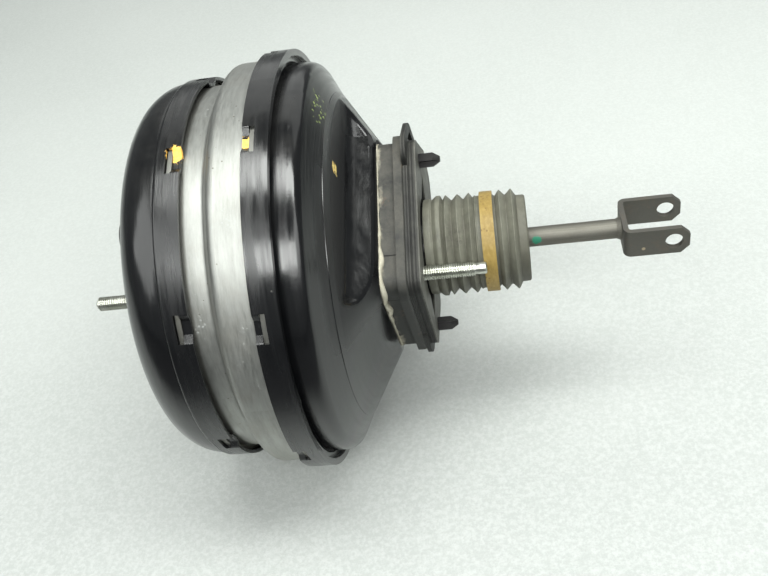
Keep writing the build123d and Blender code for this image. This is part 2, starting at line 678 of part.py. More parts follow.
# ---------------------------------------------------------------- sealant bead
with BuildPart() as sealant_bead:
    extrude(outline_sketch(HUB, -WALL_INSET + SEALANT_WIDTH), amount=SEALANT_HEIGHT)
    extrude(outline_sketch(HUB, SOFT_GAP - WALL_INSET), amount=SEALANT_HEIGHT, mode=Mode.SUBTRACT)
    chamfer(sealant_bead.faces().sort_by(Axis.X)[-1].outer_wire().edges(), SEALANT_WIDTH * 0.8)
save(sealant_bead.part, "sealant_bead")


# ---------------------------------------------------------------- guides and seals of the housing
def plain_ring(front, width, inner, outer):
    """Solid ring between two radii, from a front station."""
    with BuildPart() as made:
        revolve(ring(front, front + width, inner, outer), axis=Axis.X)
    return made.part


NECK_INSIDE_R = NECK_R - STEEL
BEARING_FRONT = HUB + GUIDE_SPACING
SEAL_FRONT = BEARING_FRONT + BEARING_WIDTH + GUIDE_SPACING
COLLAR_INSIDE_R = WALL_COLLAR_R - ALUMINIUM
COLLAR_FRONT = WALL - WALL_COLLAR_REACH - ALUMINIUM / 2

save(plain_ring(BEARING_FRONT, BEARING_WIDTH, TUBE_R + RUNNING, NECK_INSIDE_R), "neck_bearing")
save(plain_ring(SEAL_FRONT, SEAL_WIDTH, TUBE_R + RUNNING, NECK_INSIDE_R), "neck_seal")
wall_seal_front = COLLAR_FRONT + WALL_SEAL_START
save(plain_ring(wall_seal_front, WALL_SEAL_WIDTH, SLEEVE_R + RUNNING, COLLAR_INSIDE_R), "wall_seal")
wall_bearing_front = wall_seal_front + WALL_SEAL_WIDTH + WALL_BEARING_SPACING
wall_bearing = plain_ring(wall_bearing_front, WALL_BEARING_WIDTH, SLEEVE_R + RUNNING, COLLAR_INSIDE_R)
save(wall_bearing, "wall_bearing")

# ---------------------------------------------------------------- vacuum port grommet
with BuildPart() as vacuum_grommet:
    extrude(discs(FRONT - PORT_REACH, [PORT], PORT_LIP_R), amount=PORT_REACH)
    fillet(vacuum_grommet.faces().sort_by(Axis.X)[0].edges(), PORT_LIP_ROUNDING)
    extrude(discs(FRONT, [PORT], PORT_HOLE_R), amount=STEEL)
    extrude(discs(FRONT_INSIDE, [PORT], PORT_LIP_R - PORT_INNER_STEP), amount=PORT_INNER_LIP)
    port_length = PORT_REACH + STEEL + PORT_INNER_LIP
    extrude(discs(FRONT - PORT_REACH, [PORT], PORT_BORE_R), amount=port_length, mode=Mode.SUBTRACT)
save(vacuum_grommet.part, "vacuum_grommet")

# ---------------------------------------------------------------- valve body
SLOT_FRONT = KEY_REAR - KEY_WIDTH - SOFT_GAP
with BuildPart() as valve_body:
    body_section = section(
        (NOSE, 0),
        (NOSE, NOSE_R),
        (FRONT_CLOTH, NOSE_R),
        (FRONT_CLOTH, SLEEVE_R),
        (REAR_CLOTH, SLEEVE_R),
        (REAR_CLOTH, SHOULDER_R),
        (SHOULDER_REAR, SHOULDER_R),
        (SHOULDER_REAR, TUBE_R),
        (TUBE_END - TUBE_LIP_WIDTH, TUBE_R),
        (TUBE_END - TUBE_LIP_WIDTH, TUBE_LIP_R),
        (TUBE_END, TUBE_LIP_R),
        (TUBE_END, 0),
    )
    revolve(body_section, axis=Axis.X)
    bores = section(
        (NOSE, 0),
        (NOSE, DISC_R),
        (DISC_FLOOR, DISC_R),
        (DISC_FLOOR, PLUNGER_R),
        (RECESS_FLOOR, PLUNGER_R),
        (RECESS_FLOOR, RECESS_R),
        (CHAMBER_FLOOR, RECESS_R),
        (CHAMBER_FLOOR, CHAMBER_R),
        (TUBE_END, CHAMBER_R),
        (TUBE_END, 0),
    )
    revolve(bores, axis=Axis.X, mode=Mode.SUBTRACT)
    with BuildSketch(facing(SLOT_FRONT)):
        Rectangle(KEY_BREADTH + 2 * SOFT_GAP, 2 * KEY_REACH)
    extrude(amount=KEY_WIDTH + 2 * SOFT_GAP, mode=Mode.SUBTRACT)
save(valve_body.part, "valve_body")

# ---------------------------------------------------------------- stop key
with BuildPart() as stop_key:
    with BuildSketch(facing(KEY_REAR - KEY_WIDTH)):
        Rectangle(KEY_BREADTH, 2 * KEY_REACH)
        with Locations((0, -KEY_REACH / 2)):
            Rectangle(2 * (KEY_NECK_R + GAP), KEY_REACH, mode=Mode.SUBTRACT)
        Circle(KEY_NECK_R + GAP, mode=Mode.SUBTRACT)
    extrude(amount=KEY_WIDTH)
    fillet(stop_key.edges().filter_by(Axis.X).group_by(Axis.Z)[-1], KEY_ROUNDING)
save(stop_key.part, "stop_key")

# ---------------------------------------------------------------- diaphragm plates and diaphragms
def dished(middle, inner_r, rim_r, away):
    """Path of two flats and the cone between them; away shifts it sideways towards the rear."""
    shift = away * ((1 + PLATE_LEAN**2) ** 0.5 - 1) / PLATE_LEAN
    level = middle + away
    sunken = level - PLATE_DISH
    return [(level, inner_r), (level, FLAT_R + shift), (sunken, CONE_R + shift), (sunken, rim_r)]


CLOTH_AWAY = (PLATE + RUBBER) / 2
FRONT_RIM_R = PLATE_RIM_R - FRONT_PLATE_RIM_STEP


def plate(middle, inner_r, rim_r):
    """Pressed plate with holes for the through bolts' seals."""
    with BuildPart() as made:
        revolve(sheet(PLATE, dished(middle, inner_r, rim_r, 0), DISH_BEND), axis=Axis.X)
        extrude(discs(middle - PLATE, BOLTS, BOLT_SEAL_R), amount=2 * PLATE, mode=Mode.SUBTRACT)
    return made.part


def diaphragm(middle, inner_r, rim_r, bead, bead_ring):
    """Rubber lying on the back of a plate, rolling over its rim to a clamped bead."""
    with BuildPart() as made:
        path = dished(middle, inner_r, rim_r + CLOTH_OVERHANG, CLOTH_AWAY) + [bead]
        bends = [DISH_BEND + CLOTH_AWAY, DISH_BEND - CLOTH_AWAY, CLOTH_ROLL]
        revolve(sheet(RUBBER, path, bends), axis=Axis.X)
        revolve(bead_ring, axis=Axis.X)
        extrude(discs(middle, BOLTS, BOLT_SEAL_R), amount=PLATE + RUBBER, mode=Mode.SUBTRACT)
    return made.part


save(plate(REAR_PLATE, SLEEVE_R, PLATE_RIM_R), "rear_diaphragm_plate")
save(plate(FRONT_PLATE, NOSE_R, FRONT_RIM_R), "front_diaphragm_plate")

REAR_BEAD_R = BAND_R - STEEL - LIP_GAP
rear_bead = ring(HOUSING_REAR, BAND_WALL, REAR_BEAD_R - BEAD_HEIGHT, REAR_BEAD_R)
rear_bead_edge = ((HOUSING_REAR + BAND_WALL) / 2, REAR_BEAD_R - BEAD_HEIGHT + BEAD_LAP)
save(diaphragm(REAR_PLATE, SLEEVE_R, PLATE_RIM_R, rear_bead_edge, rear_bead), "rear_diaphragm")

FRONT_BEAD_R = DOME_R - STEEL - GAP
FRONT_BEAD_FRONT = HOUSING_FRONT - FRONT_BEAD_WIDTH
front_bead = ring(FRONT_BEAD_FRONT, HOUSING_FRONT, FRONT_BEAD_R - FRONT_BEAD_HEIGHT, FRONT_BEAD_R)
front_bead_edge = (HOUSING_FRONT - FRONT_BEAD_WIDTH / 2, FRONT_BEAD_R - FRONT_BEAD_HEIGHT + BEAD_LAP)
save(diaphragm(FRONT_PLATE, NOSE_R, FRONT_RIM_R, front_bead_edge, front_bead), "front_diaphragm")

REAR_SEALS_FRONT = REAR_PLATE - PLATE / 2 - SEAL_START
FRONT_SEALS_FRONT = FRONT_PLATE - PLATE / 2 - SEAL_START
with BuildPart() as plate_bolt_seals:
    add(bolt_rings(REAR_SEALS_FRONT, BOLT_SEAL_WIDTH))
    add(bolt_rings(FRONT_SEALS_FRONT, BOLT_SEAL_WIDTH))
save(plate_bolt_seals.part, "plate_bolt_seals")

rear_retainer_front = REAR_PLATE - PLATE / 2 - RETAINER_WIDTH
save(plain_ring(rear_retainer_front, RETAINER_WIDTH, SLEEVE_R, RETAINER_R), "rear_plate_retainer")
front_retainer_r = RETURN_SPRING_R - RETURN_WIRE / 2 - 2 * GAP
front_retainer = plain_ring(FRONT_RETAINER - RETAINER_WIDTH, RETAINER_WIDTH, NOSE_R, front_retainer_r)
save(front_retainer, "front_plate_retainer")

# ---------------------------------------------------------------- reaction disc and output rod
DISC_FRONT = DISC_FLOOR - DISC_WIDTH
HEAD_FRONT = DISC_FRONT - ROD_HEAD_WIDTH
with BuildPart() as reaction_disc:
    revolve(section((DISC_FRONT, 0), (DISC_FLOOR, 0), (DISC_FLOOR, DISC_R - RUNNING),
                    (DISC_FRONT, DISC_R - RUNNING)), axis=Axis.X)
save(reaction_disc.part, "reaction_disc")

with BuildPart() as output_rod:
    with BuildSketch(Plane.XZ):
        with BuildLine():
            tip = (SPIGOT_FLOOR + OUTPUT_ROD_RECESS, 0)
            neck = (tip[0] + OUTPUT_ROD_R, OUTPUT_ROD_R)
            RadiusArc(tip, neck, OUTPUT_ROD_R)
            Polyline(neck, (HEAD_FRONT, OUTPUT_ROD_R), (HEAD_FRONT, DISC_R - RUNNING),
                     (DISC_FRONT, DISC_R - RUNNING), (DISC_FRONT, 0), tip)
        make_face()
    revolve(axis=Axis.X)
save(output_rod.part, "output_rod")
rod_retainer = plain_ring(HEAD_FRONT - ROD_RETAINER_WIDTH, ROD_RETAINER_WIDTH, ROD_RETAINER_BORE_R, DISC_R)
save(rod_retainer, "output_rod_retainer")

# ---------------------------------------------------------------- poppet, stops, filter
POPPET_FRONT = CHAMBER_FLOOR + POPPET_GAP
POPPET_REAR = POPPET_FRONT + POPPET_LENGTH
with BuildPart() as poppet_valve:
    revolve(ring(POPPET_FRONT, POPPET_FRONT + POPPET_FACE, POPPET_BORE_R, POPPET_R), axis=Axis.X)
    revolve(ring(POPPET_FRONT, POPPET_REAR, POPPET_R - POPPET_WALL, POPPET_R), axis=Axis.X)
    revolve(ring(POPPET_REAR - POPPET_FOOT, POPPET_REAR, POPPET_R - POPPET_WALL, CHAMBER_R), axis=Axis.X)
save(poppet_valve.part, "poppet_valve")
STOP_REAR = POPPET_REAR + STOP_WIDTH
save(plain_ring(POPPET_REAR, STOP_WIDTH, STOP_BORE_R, CHAMBER_R), "poppet_stop")
SPRING_REAR = STOP_REAR + INPUT_SPRING_LENGTH
WASHER_REAR = SPRING_REAR + WASHER_WIDTH
filter_front = TUBE_END - SILENCER_INSET - SILENCER_WIDTH - FILTER_WIDTH
save(plain_ring(filter_front, FILTER_WIDTH, STOP_BORE_R, CHAMBER_R), "air_filter")
save(plain_ring(filter_front + FILTER_WIDTH, SILENCER_WIDTH, STOP_BORE_R, CHAMBER_R), "silencer")

# ---------------------------------------------------------------- springs
return_spring = coil(FRONT_INSIDE + SOFT_GAP, FRONT_RETAINER - SOFT_GAP, RETURN_SPRING_R, RETURN_WIRE,
                     RETURN_TURNS)
save(return_spring, "return_spring")
poppet_spring = coil(POPPET_FRONT + POPPET_FACE + SOFT_GAP, POPPET_REAR - SOFT_GAP, POPPET_SPRING_R,
                     POPPET_WIRE, POPPET_TURNS)
save(poppet_spring, "poppet_spring")
input_spring = coil(STOP_REAR + SOFT_GAP, SPRING_REAR - SOFT_GAP, INPUT_SPRING_R, INPUT_WIRE, INPUT_TURNS)
save(input_spring, "input_spring")

# ---------------------------------------------------------------- plunger
KEY_FRONT = KEY_REAR - KEY_WIDTH
PLUNGER_TIP = DISC_FLOOR + PLUNGER_TIP_GAP
PLUNGER_REAR = POPPET_FRONT - GAP
NECK_FRONT = KEY_FRONT - 2 * GAP
NECK_REAR = KEY_REAR + INPUT_TRAVEL + GAP
with BuildPart() as plunger:
    stem_r = PLUNGER_R - RUNNING
    plunger_section = section(
        (PLUNGER_TIP, 0),
        (PLUNGER_TIP, stem_r),
        (NECK_FRONT, stem_r),
        (NECK_FRONT, KEY_NECK_R),
        (NECK_REAR, KEY_NECK_R),
        (NECK_REAR, stem_r),
        (PLUNGER_HEAD_FRONT, stem_r),
        (PLUNGER_HEAD_FRONT, PLUNGER_HEAD_R),
        (PLUNGER_REAR, PLUNGER_HEAD_R),
        (PLUNGER_REAR, 0),
    )
    revolve(plunger_section, axis=Axis.X)
    with Locations((BALL_CENTRE, 0, 0)):
        Sphere(BALL_R + RUNNING, mode=Mode.SUBTRACT)
    with BuildSketch(facing(BALL_CENTRE)):
        Circle(SOCKET_MOUTH_R)
    extrude(amount=PLUNGER_REAR - BALL_CENTRE, mode=Mode.SUBTRACT)
save(plunger.part, "plunger")

# ---------------------------------------------------------------- push rod and clevis
ROD_START = BALL_CENTRE + BALL_NECK_LENGTH
with BuildPart() as push_rod:
    with Locations((BALL_CENTRE, 0, 0)):
        Sphere(BALL_R)
    rod_section = section(
        (BALL_CENTRE, 0),
        (BALL_CENTRE, BALL_NECK_R),
        (ROD_START, BALL_NECK_R),
        (ROD_START + ROD_R - BALL_NECK_R, ROD_R),
        (CLEVIS_FACE - 2 * ROD_FLARE, ROD_R),
        (CLEVIS_FACE, ROD_R + ROD_FLARE),
        (CLEVIS_FACE, 0),
    )
    revolve(rod_section, axis=Axis.X)
save(push_rod.part, "push_rod")
save(plain_ring(SPRING_REAR, WASHER_WIDTH, ROD_R, WASHER_R), "spring_washer")

with BuildPart() as clevis:
    ear_y = CLEVIS_GAP / 2 + CLEVIS_STRAP / 2
    clevis_end = CLEVIS_FACE + CLEVIS_LENGTH
    base_x = CLEVIS_FACE + CLEVIS_STRAP / 2
    with BuildSketch(Plane.XY.offset(-CLEVIS_HEIGHT / 2)):
        with BuildLine():
            strap = [(clevis_end, ear_y), (base_x, ear_y), (base_x, -ear_y), (clevis_end, -ear_y)]
            FilletPolyline(*strap, radius=CLEVIS_BEND - CLEVIS_STRAP / 2)
        trace(line_width=CLEVIS_STRAP)
    extrude(amount=CLEVIS_HEIGHT)
    tips = clevis.edges().filter_by(Axis.Y).group_by(Axis.X)[-1]
    chamfer(tips, CLEVIS_CORNER)
    hole = Plane(
        origin=(clevis_end - CLEVIS_HOLE_FROM_END, -ear_y - CLEVIS_STRAP, 0),
        x_dir=(1, 0, 0),
        z_dir=(0, 1, 0),
    )
    with BuildSketch(hole):
        Circle(CLEVIS_HOLE_R)
    extrude(amount=2 * ear_y + 2 * CLEVIS_STRAP, mode=Mode.SUBTRACT)
save(clevis.part, "clevis")


# ---------------------------------------------------------------- boot and its band
def boot_outline(thickness):
    """Stations and radii along the folds, sunk below the outer surface by a thickness."""
    crest = BOOT_CREST_R - thickness * CREST_WALL
    valley = BOOT_VALLEY_R - thickness
    points = [
        (BOOT_ROLL - BOOT_ROLL_OFFSET / 2 - ROLL_LEAD, valley),
        (BOOT_ROLL - ROLL_HALF_WIDTH, crest),
        (BOOT_ROLL + ROLL_HALF_WIDTH, crest),
    ]
    station = BOOT_ROLL
    for fold in range(BOOT_FRONT_FOLDS):
        step = FOLD_PITCH * (1 if fold else FIRST_FOLD)
        points += [(station + step / 2 + FRONT_VALLEY_SHIFT, valley), (station + step, crest)]
        station += step
    points += [((station + BOOT_LAND[0]) / 2, valley)]
    points += [(edge, BOOT_LAND_R - thickness) for edge in BOOT_LAND]
    station = BOOT_LAND[1]
    for fold in range(BOOT_REAR_FOLDS):
        step = FOLD_PITCH * (1 if fold else FIRST_FOLD)
        points += [(station + step / 2 - REAR_VALLEY_SHIFT, valley), (station + step, crest)]
        station += step
    points += [(BOOT_END_START, BOOT_END_R - thickness)]
    return points


BOOT_BASE_END = NECK_REACH + BOOT_BASE_MARGIN
BOOT_ROLL = BOOT_BASE_END + BOOT_ROLL_OFFSET
BOOT_CREST_R = NECK_R + BOOT_CREST_STEP
BOOT_VALLEY_R = NECK_R - BOOT_VALLEY_STEP
BOOT_LAND_R = NECK_R + BOOT_LAND_STEP
BOOT_BAND_R = BOOT_LAND_R + GAP + BOOT_BAND_THICKNESS
BOOT_END = TUBE_END + BOOT_END_WALL
BOOT_END_START = BOOT_END - BOOT_END_RIM
BOOT_END_R = TUBE_LIP_R + BOOT_LIP_GAP + BOOT_WALL
BOOT_MOUTH_R = ROD_R + BOOT_MOUTH_ROOM
FIRST_FOLD = 0.6  # first crest after a plain part, in pitches
CREST_WALL = 1.3  # wall under a crest, in thicknesses of the rubber
ROLL_HALF_WIDTH = 1.1
ROLL_LEAD = 0.4
FRONT_VALLEY_SHIFT = 0.3  # valleys lean away from the middle of their fold
REAR_VALLEY_SHIFT = 0.6
LAST_FLANK = 0.85  # from the last front crest to the land
END_FLANK = 0.35  # from the last rear crest to the end rim
fold_steps = BOOT_FRONT_FOLDS + BOOT_REAR_FOLDS - 2 + 2 * FIRST_FOLD + LAST_FLANK + END_FLANK
FOLD_PITCH = (BOOT_END_START - BOOT_ROLL - BOOT_LAND_WIDTH) / fold_steps
land_start = BOOT_ROLL + FOLD_PITCH * (FIRST_FOLD + BOOT_FRONT_FOLDS - 1 + LAST_FLANK)
BOOT_LAND = (land_start, land_start + BOOT_LAND_WIDTH)

with BuildPart() as boot:
    outside = [(BOOT_START, NECK_R + BOOT_BASE_RIM), (BOOT_BASE_END, NECK_R + BOOT_BASE_RIM)]
    outside += boot_outline(0)
    outside += [(BOOT_END, BOOT_END_R), (BOOT_END, BOOT_MOUTH_R), (TUBE_END, BOOT_MOUTH_R)]
    inside = [(BOOT_START, NECK_R), (BOOT_BASE_END, NECK_R)] + boot_outline(BOOT_WALL)
    inside += [(TUBE_END, BOOT_END_R - BOOT_WALL)]
    revolve(section(*outside, *reversed(inside)), axis=Axis.X)
save(boot.part, "boot")

band_width = BOOT_LAND_WIDTH - 2 * SOFT_GAP
band = plain_ring(BOOT_LAND[0] + SOFT_GAP, band_width, BOOT_LAND_R + GAP, BOOT_BAND_R)
save(band, "boot_band")
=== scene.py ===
"""Looks of a tandem vacuum brake booster lying on a pale floor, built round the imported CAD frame.

Row frame, in metres: +X along the axis towards the pedal, +Y along the clevis pin, +Z up, origin at
the centre of the bulkhead face.
"""

import math

import bmesh
import bpy
from mathutils import Matrix, Vector


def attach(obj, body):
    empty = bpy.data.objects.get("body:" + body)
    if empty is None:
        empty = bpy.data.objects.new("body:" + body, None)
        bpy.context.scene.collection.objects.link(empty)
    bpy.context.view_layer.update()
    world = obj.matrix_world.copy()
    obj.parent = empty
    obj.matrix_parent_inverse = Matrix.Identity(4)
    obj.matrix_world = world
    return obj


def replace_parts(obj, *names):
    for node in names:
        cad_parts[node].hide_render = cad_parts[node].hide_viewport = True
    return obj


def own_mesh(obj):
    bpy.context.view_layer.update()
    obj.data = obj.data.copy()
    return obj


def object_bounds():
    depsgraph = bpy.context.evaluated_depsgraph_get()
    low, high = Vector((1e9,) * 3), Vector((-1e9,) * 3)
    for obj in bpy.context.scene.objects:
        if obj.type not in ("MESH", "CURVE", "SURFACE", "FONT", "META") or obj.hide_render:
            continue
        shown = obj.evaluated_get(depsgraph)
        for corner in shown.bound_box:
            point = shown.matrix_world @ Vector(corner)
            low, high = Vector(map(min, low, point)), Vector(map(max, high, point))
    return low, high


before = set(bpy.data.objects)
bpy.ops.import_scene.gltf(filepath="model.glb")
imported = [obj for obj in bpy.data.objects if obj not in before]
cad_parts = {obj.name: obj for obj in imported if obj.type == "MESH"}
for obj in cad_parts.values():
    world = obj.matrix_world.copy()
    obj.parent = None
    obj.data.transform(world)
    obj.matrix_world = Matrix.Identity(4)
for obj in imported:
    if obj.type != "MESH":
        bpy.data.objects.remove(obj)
cad_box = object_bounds()
MM = 0.001

# ------------------------------------------------------------------ places, in millimetres
HUB = -21.5  # rear end of the rear shell
FRONT = -144.9  # front face of the front shell
FLANGE_FRONT = -12.0  # front of the spacer's flange
BOLT_TURN = 163.7  # degrees from +Y
BOLT_CIRCLE = 35.0
BOLT_REAR = 33.7
BOLT_FRONT = -185.0
BOLT_DOG_POINT = 6.5
BOLT_R = 4.0
SHANK_R = 3.58
COLLAR_R = 6.78
COLLAR_NEAR = 1.8  # from the shell's outer face
COLLAR_FAR = 5.8
BOLT_STEPS = 28
SPACER_JOINTS = (143.6, 172.5)  # degrees from +Y
PATTERN_TURN = math.radians(48.4)  # the spacer's outline is drawn turned back by this
# stations between which painted shade darkens the aluminium towards each band
BAND_SHADES = ((-105.2, -106.6), (-74.8, -73.2))
# each black band: its two stations, its inner radius, and its roughness where smooth and where dull
FRONT_BAND = (-120.0, -106.8, 104.0, 0.16, 0.34)
REAR_BAND = (-73.6, -60.5, 112.8, 0.14, 0.3)
BAND_EDGE = 0.4
# the boss's dull part: station of its foot, a radius just inside the crease, and where it is fully dull
SUNK_BOSS = (-43.5, 89.5, -38.5)
SUNK_EDGE = 1.5
BOOT_OUTSIDE = [
    (0.85, 25.4), (0.85, 26.9), (4.6, 27.2), (5.6, 26.3), (6.3, 27.0), (8.0, 28.4), (10.2, 28.4),
    (11.4, 25.6), (13.2, 28.4), (16.4, 24.9), (19.8, 28.3), (23.1, 24.9), (26.4, 28.4), (28.6, 25.3),
    (29.4, 26.6), (30.2, 26.0), (31.9, 26.1), (39.1, 26.1), (40.5, 25.0), (43.1, 28.3), (46.3, 24.9),
    (49.8, 28.3), (52.2, 24.3), (56.2, 24.2), (57.1, 23.5), (57.1, 10.4), (56.2, 10.0),
]
BOOT_INSIDE = [
    (53.2, 10.0), (53.2, 22.7), (49.8, 26.3), (46.3, 23.2), (43.1, 26.3), (40.5, 23.5), (31.9, 24.4),
    (28.6, 23.5), (26.4, 26.2), (23.1, 23.2), (19.8, 26.3), (16.4, 23.2), (13.2, 26.2), (11.4, 24.1),
    (9.0, 26.6), (6.4, 25.05), (0.85, 25.05),
]
BOOT_ROUNDING = 0.5
BOOT_SAG = 0.12  # how far the folds wander along the axis
WALL_OUTLINE = [(60, 15), (60, -38), (45, -60), (-33, -60), (-57, -19), (-22, 54)]
WALL_ROUNDING = 9.0
WALL_INSET = 0.6


class Nodes:
    """Small helper that wires one procedural material."""

    def __init__(self, name, metallic=0.0, specular=0.5):
        self.mat = bpy.data.materials.new(name)
        self.mat.use_nodes = True
        self.tree = self.mat.node_tree
        self.shader = self.tree.nodes["Principled BSDF"]
        self.shader.inputs["Metallic"].default_value = metallic
        self.shader.inputs["Specular IOR Level"].default_value = specular
        self.point = self.new("ShaderNodeTexCoord").outputs["Object"]
        split = self.new("ShaderNodeSeparateXYZ")
        self.link(self.point, split.inputs[0])
        self.x, self.y, self.z = split.outputs

    def new(self, kind):
        return self.tree.nodes.new(kind)

    def link(self, value, socket):
        if isinstance(value, bpy.types.NodeSocket):
            self.tree.links.new(value, socket)
        else:
            socket.default_value = value

    def math(self, operation, first, second=0.0, clamp=False):
        node = self.new("ShaderNodeMath")
        node.operation = operation
        node.use_clamp = clamp
        for value, socket in zip((first, second), node.inputs):
            self.link(value, socket)
        return node.outputs[0]

    def times(self, first, second):
        return self.math("MULTIPLY", first, second)

    def plus(self, first, second, clamp=False):
        return self.math("ADD", first, second, clamp)

    def minus(self, first, second, clamp=False):
        return self.math("SUBTRACT", first, second, clamp)

    def most(self, first, second):
        return self.math("MAXIMUM", first, second)

    def combine(self, x, y, z):
        node = self.new("ShaderNodeCombineXYZ")
        for value, socket in zip((x, y, z), node.inputs):
            self.link(value, socket)
        return node.outputs[0]

    def noise(self, scale, detail, rough, vector=None):
        node = self.new("ShaderNodeTexNoise")
        node.inputs["Scale"].default_value = scale
        node.inputs["Detail"].default_value = detail
        node.inputs["Roughness"].default_value = rough
        self.link(self.point if vector is None else vector, node.inputs["Vector"])
        return node.outputs["Fac"]

    def cells(self, scale):
        node = self.new("ShaderNodeTexVoronoi")
        node.inputs["Scale"].default_value = scale
        self.link(self.point, node.inputs["Vector"])
        return node.outputs["Distance"]

    def span(self, value, low, high, out_low=0.0, out_high=1.0, smooth=False):
        node = self.new("ShaderNodeMapRange")
        node.interpolation_type = "SMOOTHSTEP" if smooth else "LINEAR"
        for item, socket in zip((value, low, high, out_low, out_high), node.inputs):
            self.link(item, socket)
        return node.outputs[0]

    def mix(self, amount, first, second):
        node = self.new("ShaderNodeMix")
        node.data_type = "RGBA"
        self.link(amount, node.inputs["Factor"])
        for colour, socket in ((first, node.inputs["A"]), (second, node.inputs["B"])):
            self.link(colour if isinstance(colour, bpy.types.NodeSocket) else (*colour, 1.0), socket)
        return node.outputs["Result"]

    def bump(self, height, distance, strength=1.0, normal=None):
        node = self.new("ShaderNodeBump")
        node.inputs["Strength"].default_value = strength
        node.inputs["Distance"].default_value = distance
        self.link(height, node.inputs["Height"])
        if normal is not None:
            self.link(normal, node.inputs["Normal"])
        return node.outputs["Normal"]

    def up(self):
        """How far the surface faces up, 0 to 1."""
        geometry = self.new("ShaderNodeNewGeometry")
        split = self.new("ShaderNodeSeparateXYZ")
        self.link(geometry.outputs["Normal"], split.inputs[0])
        return self.most(split.outputs[2], 0.0)

    def settled(self, start, least, most, scale, low=0.3, high=0.7):
        """Dust that has settled on what faces up, in patches."""
        lying = self.span(self.up(), start, 1.0, least, most)
        return self.times(lying, self.span(self.noise(scale, 6, 0.7), low, high))

    def radius(self):
        return self.math("SQRT", self.plus(self.times(self.y, self.y), self.times(self.z, self.z)))

    def turn(self):
        """Angle about the axis from +Y, in radians."""
        return self.math("ARCTAN2", self.z, self.y)

    def around(self, along, across):
        """Coordinates that run round the axis, for grain drawn along the circumference."""
        ring = self.times(self.turn(), along)
        return self.combine(self.times(self.x, across), ring, self.times(self.radius(), across))

    def near(self, place, reach, edge, wobble=None):
        """Mask that is 1 inside a ball about a place and fades over the edge."""
        node = self.new("ShaderNodeVectorMath")
        node.operation = "DISTANCE"
        self.link(self.point, node.inputs[0])
        node.inputs[1].default_value = place
        distance = node.outputs["Value"]
        if wobble is not None:
            distance = self.plus(distance, wobble)
        return self.span(distance, reach, reach - edge)

    def finish(self, colour, rough, normal, metallic=None):
        self.link(colour, self.shader.inputs["Base Color"])
        self.link(rough, self.shader.inputs["Roughness"])
        self.link(normal, self.shader.inputs["Normal"])
        if metallic is not None:
            self.link(metallic, self.shader.inputs["Metallic"])
        return self.mat


def on_ring(station, radius, turn):
    """Place in metres from a station, radius and angle, all in millimetres and degrees."""
    angle = math.radians(turn)
    return (station * MM, radius * math.cos(angle) * MM, radius * math.sin(angle) * MM)


# ------------------------------------------------------------------ materials
def black_paint(name, band, dabs, inks=(), sunk=None):
    """Glossy black paint, worn round the axis, duller on the band and in the sunk part of the boss."""
    n = Nodes(name, specular=0.68)
    cloud = n.noise(22, 5, 0.6)
    fine = n.noise(420, 3, 0.6)
    rolled = n.noise(1.0, 3, 0.55, vector=n.around(2.2, 310))
    streaks = n.noise(1.0, 6, 0.7, vector=n.around(9, 620))
    colour = n.mix(n.span(cloud, 0.3, 0.75), (0.0025, 0.0027, 0.0033), (0.006, 0.0062, 0.0068))
    # dust that has settled on what faces up
    dust = n.settled(0.6, 0.0, 0.08, 60, 0.35, 0.75)
    colour = n.mix(dust, colour, (0.17, 0.165, 0.15))
    # fine rubbed scratches round the circumference
    rubbed = n.times(n.span(streaks, 0.66, 0.74), n.span(n.noise(30, 3, 0.5), 0.45, 0.62))
    colour = n.mix(n.times(rubbed, 0.35), colour, (0.16, 0.16, 0.155))
    # small chips
    chips = n.times(n.span(n.cells(150), 0.08, 0.05), n.span(n.noise(18, 2, 0.5), 0.62, 0.68))
    colour = n.mix(n.times(chips, 0.5), colour, (0.25, 0.25, 0.235))
    rough = n.span(n.plus(rolled, n.times(streaks, 0.35)), 0.42, 0.95, 0.1, 0.27)
    rough = n.plus(rough, n.times(dust, 0.9), clamp=True)
    if sunk is not None:
        # the sunk face of the boss and the flat round it are dull, on the near side and above
        foot, reach, level = (size * MM for size in sunk)
        soft = SUNK_EDGE * MM
        above = n.span(n.z, -0.005, 0.03)
        flat = n.times(n.span(n.x, foot - soft, foot + soft), n.span(n.up(), 0.62, 0.3))
        flat = n.times(flat, n.times(n.span(n.y, -0.01, -0.04), above))
        rough = n.most(rough, n.times(flat, 0.5))
        boss = n.times(n.span(n.radius(), reach + soft, reach - soft), n.span(n.x, foot, level))
        boss = n.times(boss, n.times(n.span(n.up(), 0.6, 0.25), above))
        rough = n.most(rough, n.times(boss, 0.62))
    low, high, inner = (size * MM for size in band[:3])
    soft = BAND_EDGE * MM
    lap = n.times(n.span(n.x, low - soft, low), n.span(n.x, high + soft, high))
    lap = n.times(lap, n.span(n.radius(), inner - soft, inner))
    rough = n.most(rough, n.times(lap, n.span(rolled, 0.35, 0.65, *band[3:])))
    height = n.plus(n.times(fine, 0.2), n.times(streaks, 0.2))
    wobble = n.times(n.minus(n.noise(330, 4, 0.7), 0.5), 0.011)
    for place, reach, tint in dabs:
        mask = n.near(place, reach, 0.0009, wobble)
        pale = tuple(min(1, c * 1.5 + 0.05) for c in tint)
        body = n.mix(n.span(n.noise(500, 3, 0.6), 0.35, 0.7), tint, pale)
        colour = n.mix(mask, colour, body)
        rough = n.most(rough, n.times(mask, 0.7))
        height = n.plus(height, n.times(mask, 1.4))
    for place, reach, tint in inks:
        specks = n.span(n.cells(420), 0.42, 0.3)
        spread = n.near(place, reach, reach * 0.55, n.times(wobble, 1.2))
        mask = n.times(n.times(specks, spread), n.span(n.noise(260, 2, 0.5), 0.42, 0.56))
        colour = n.mix(n.times(mask, 0.75), colour, tint)
    dents = n.bump(n.plus(n.noise(35, 2, 0.4), n.times(rolled, 0.3)), 0.0007, 0.4)
    return n.finish(colour, rough, n.bump(height, 0.00007, normal=dents))


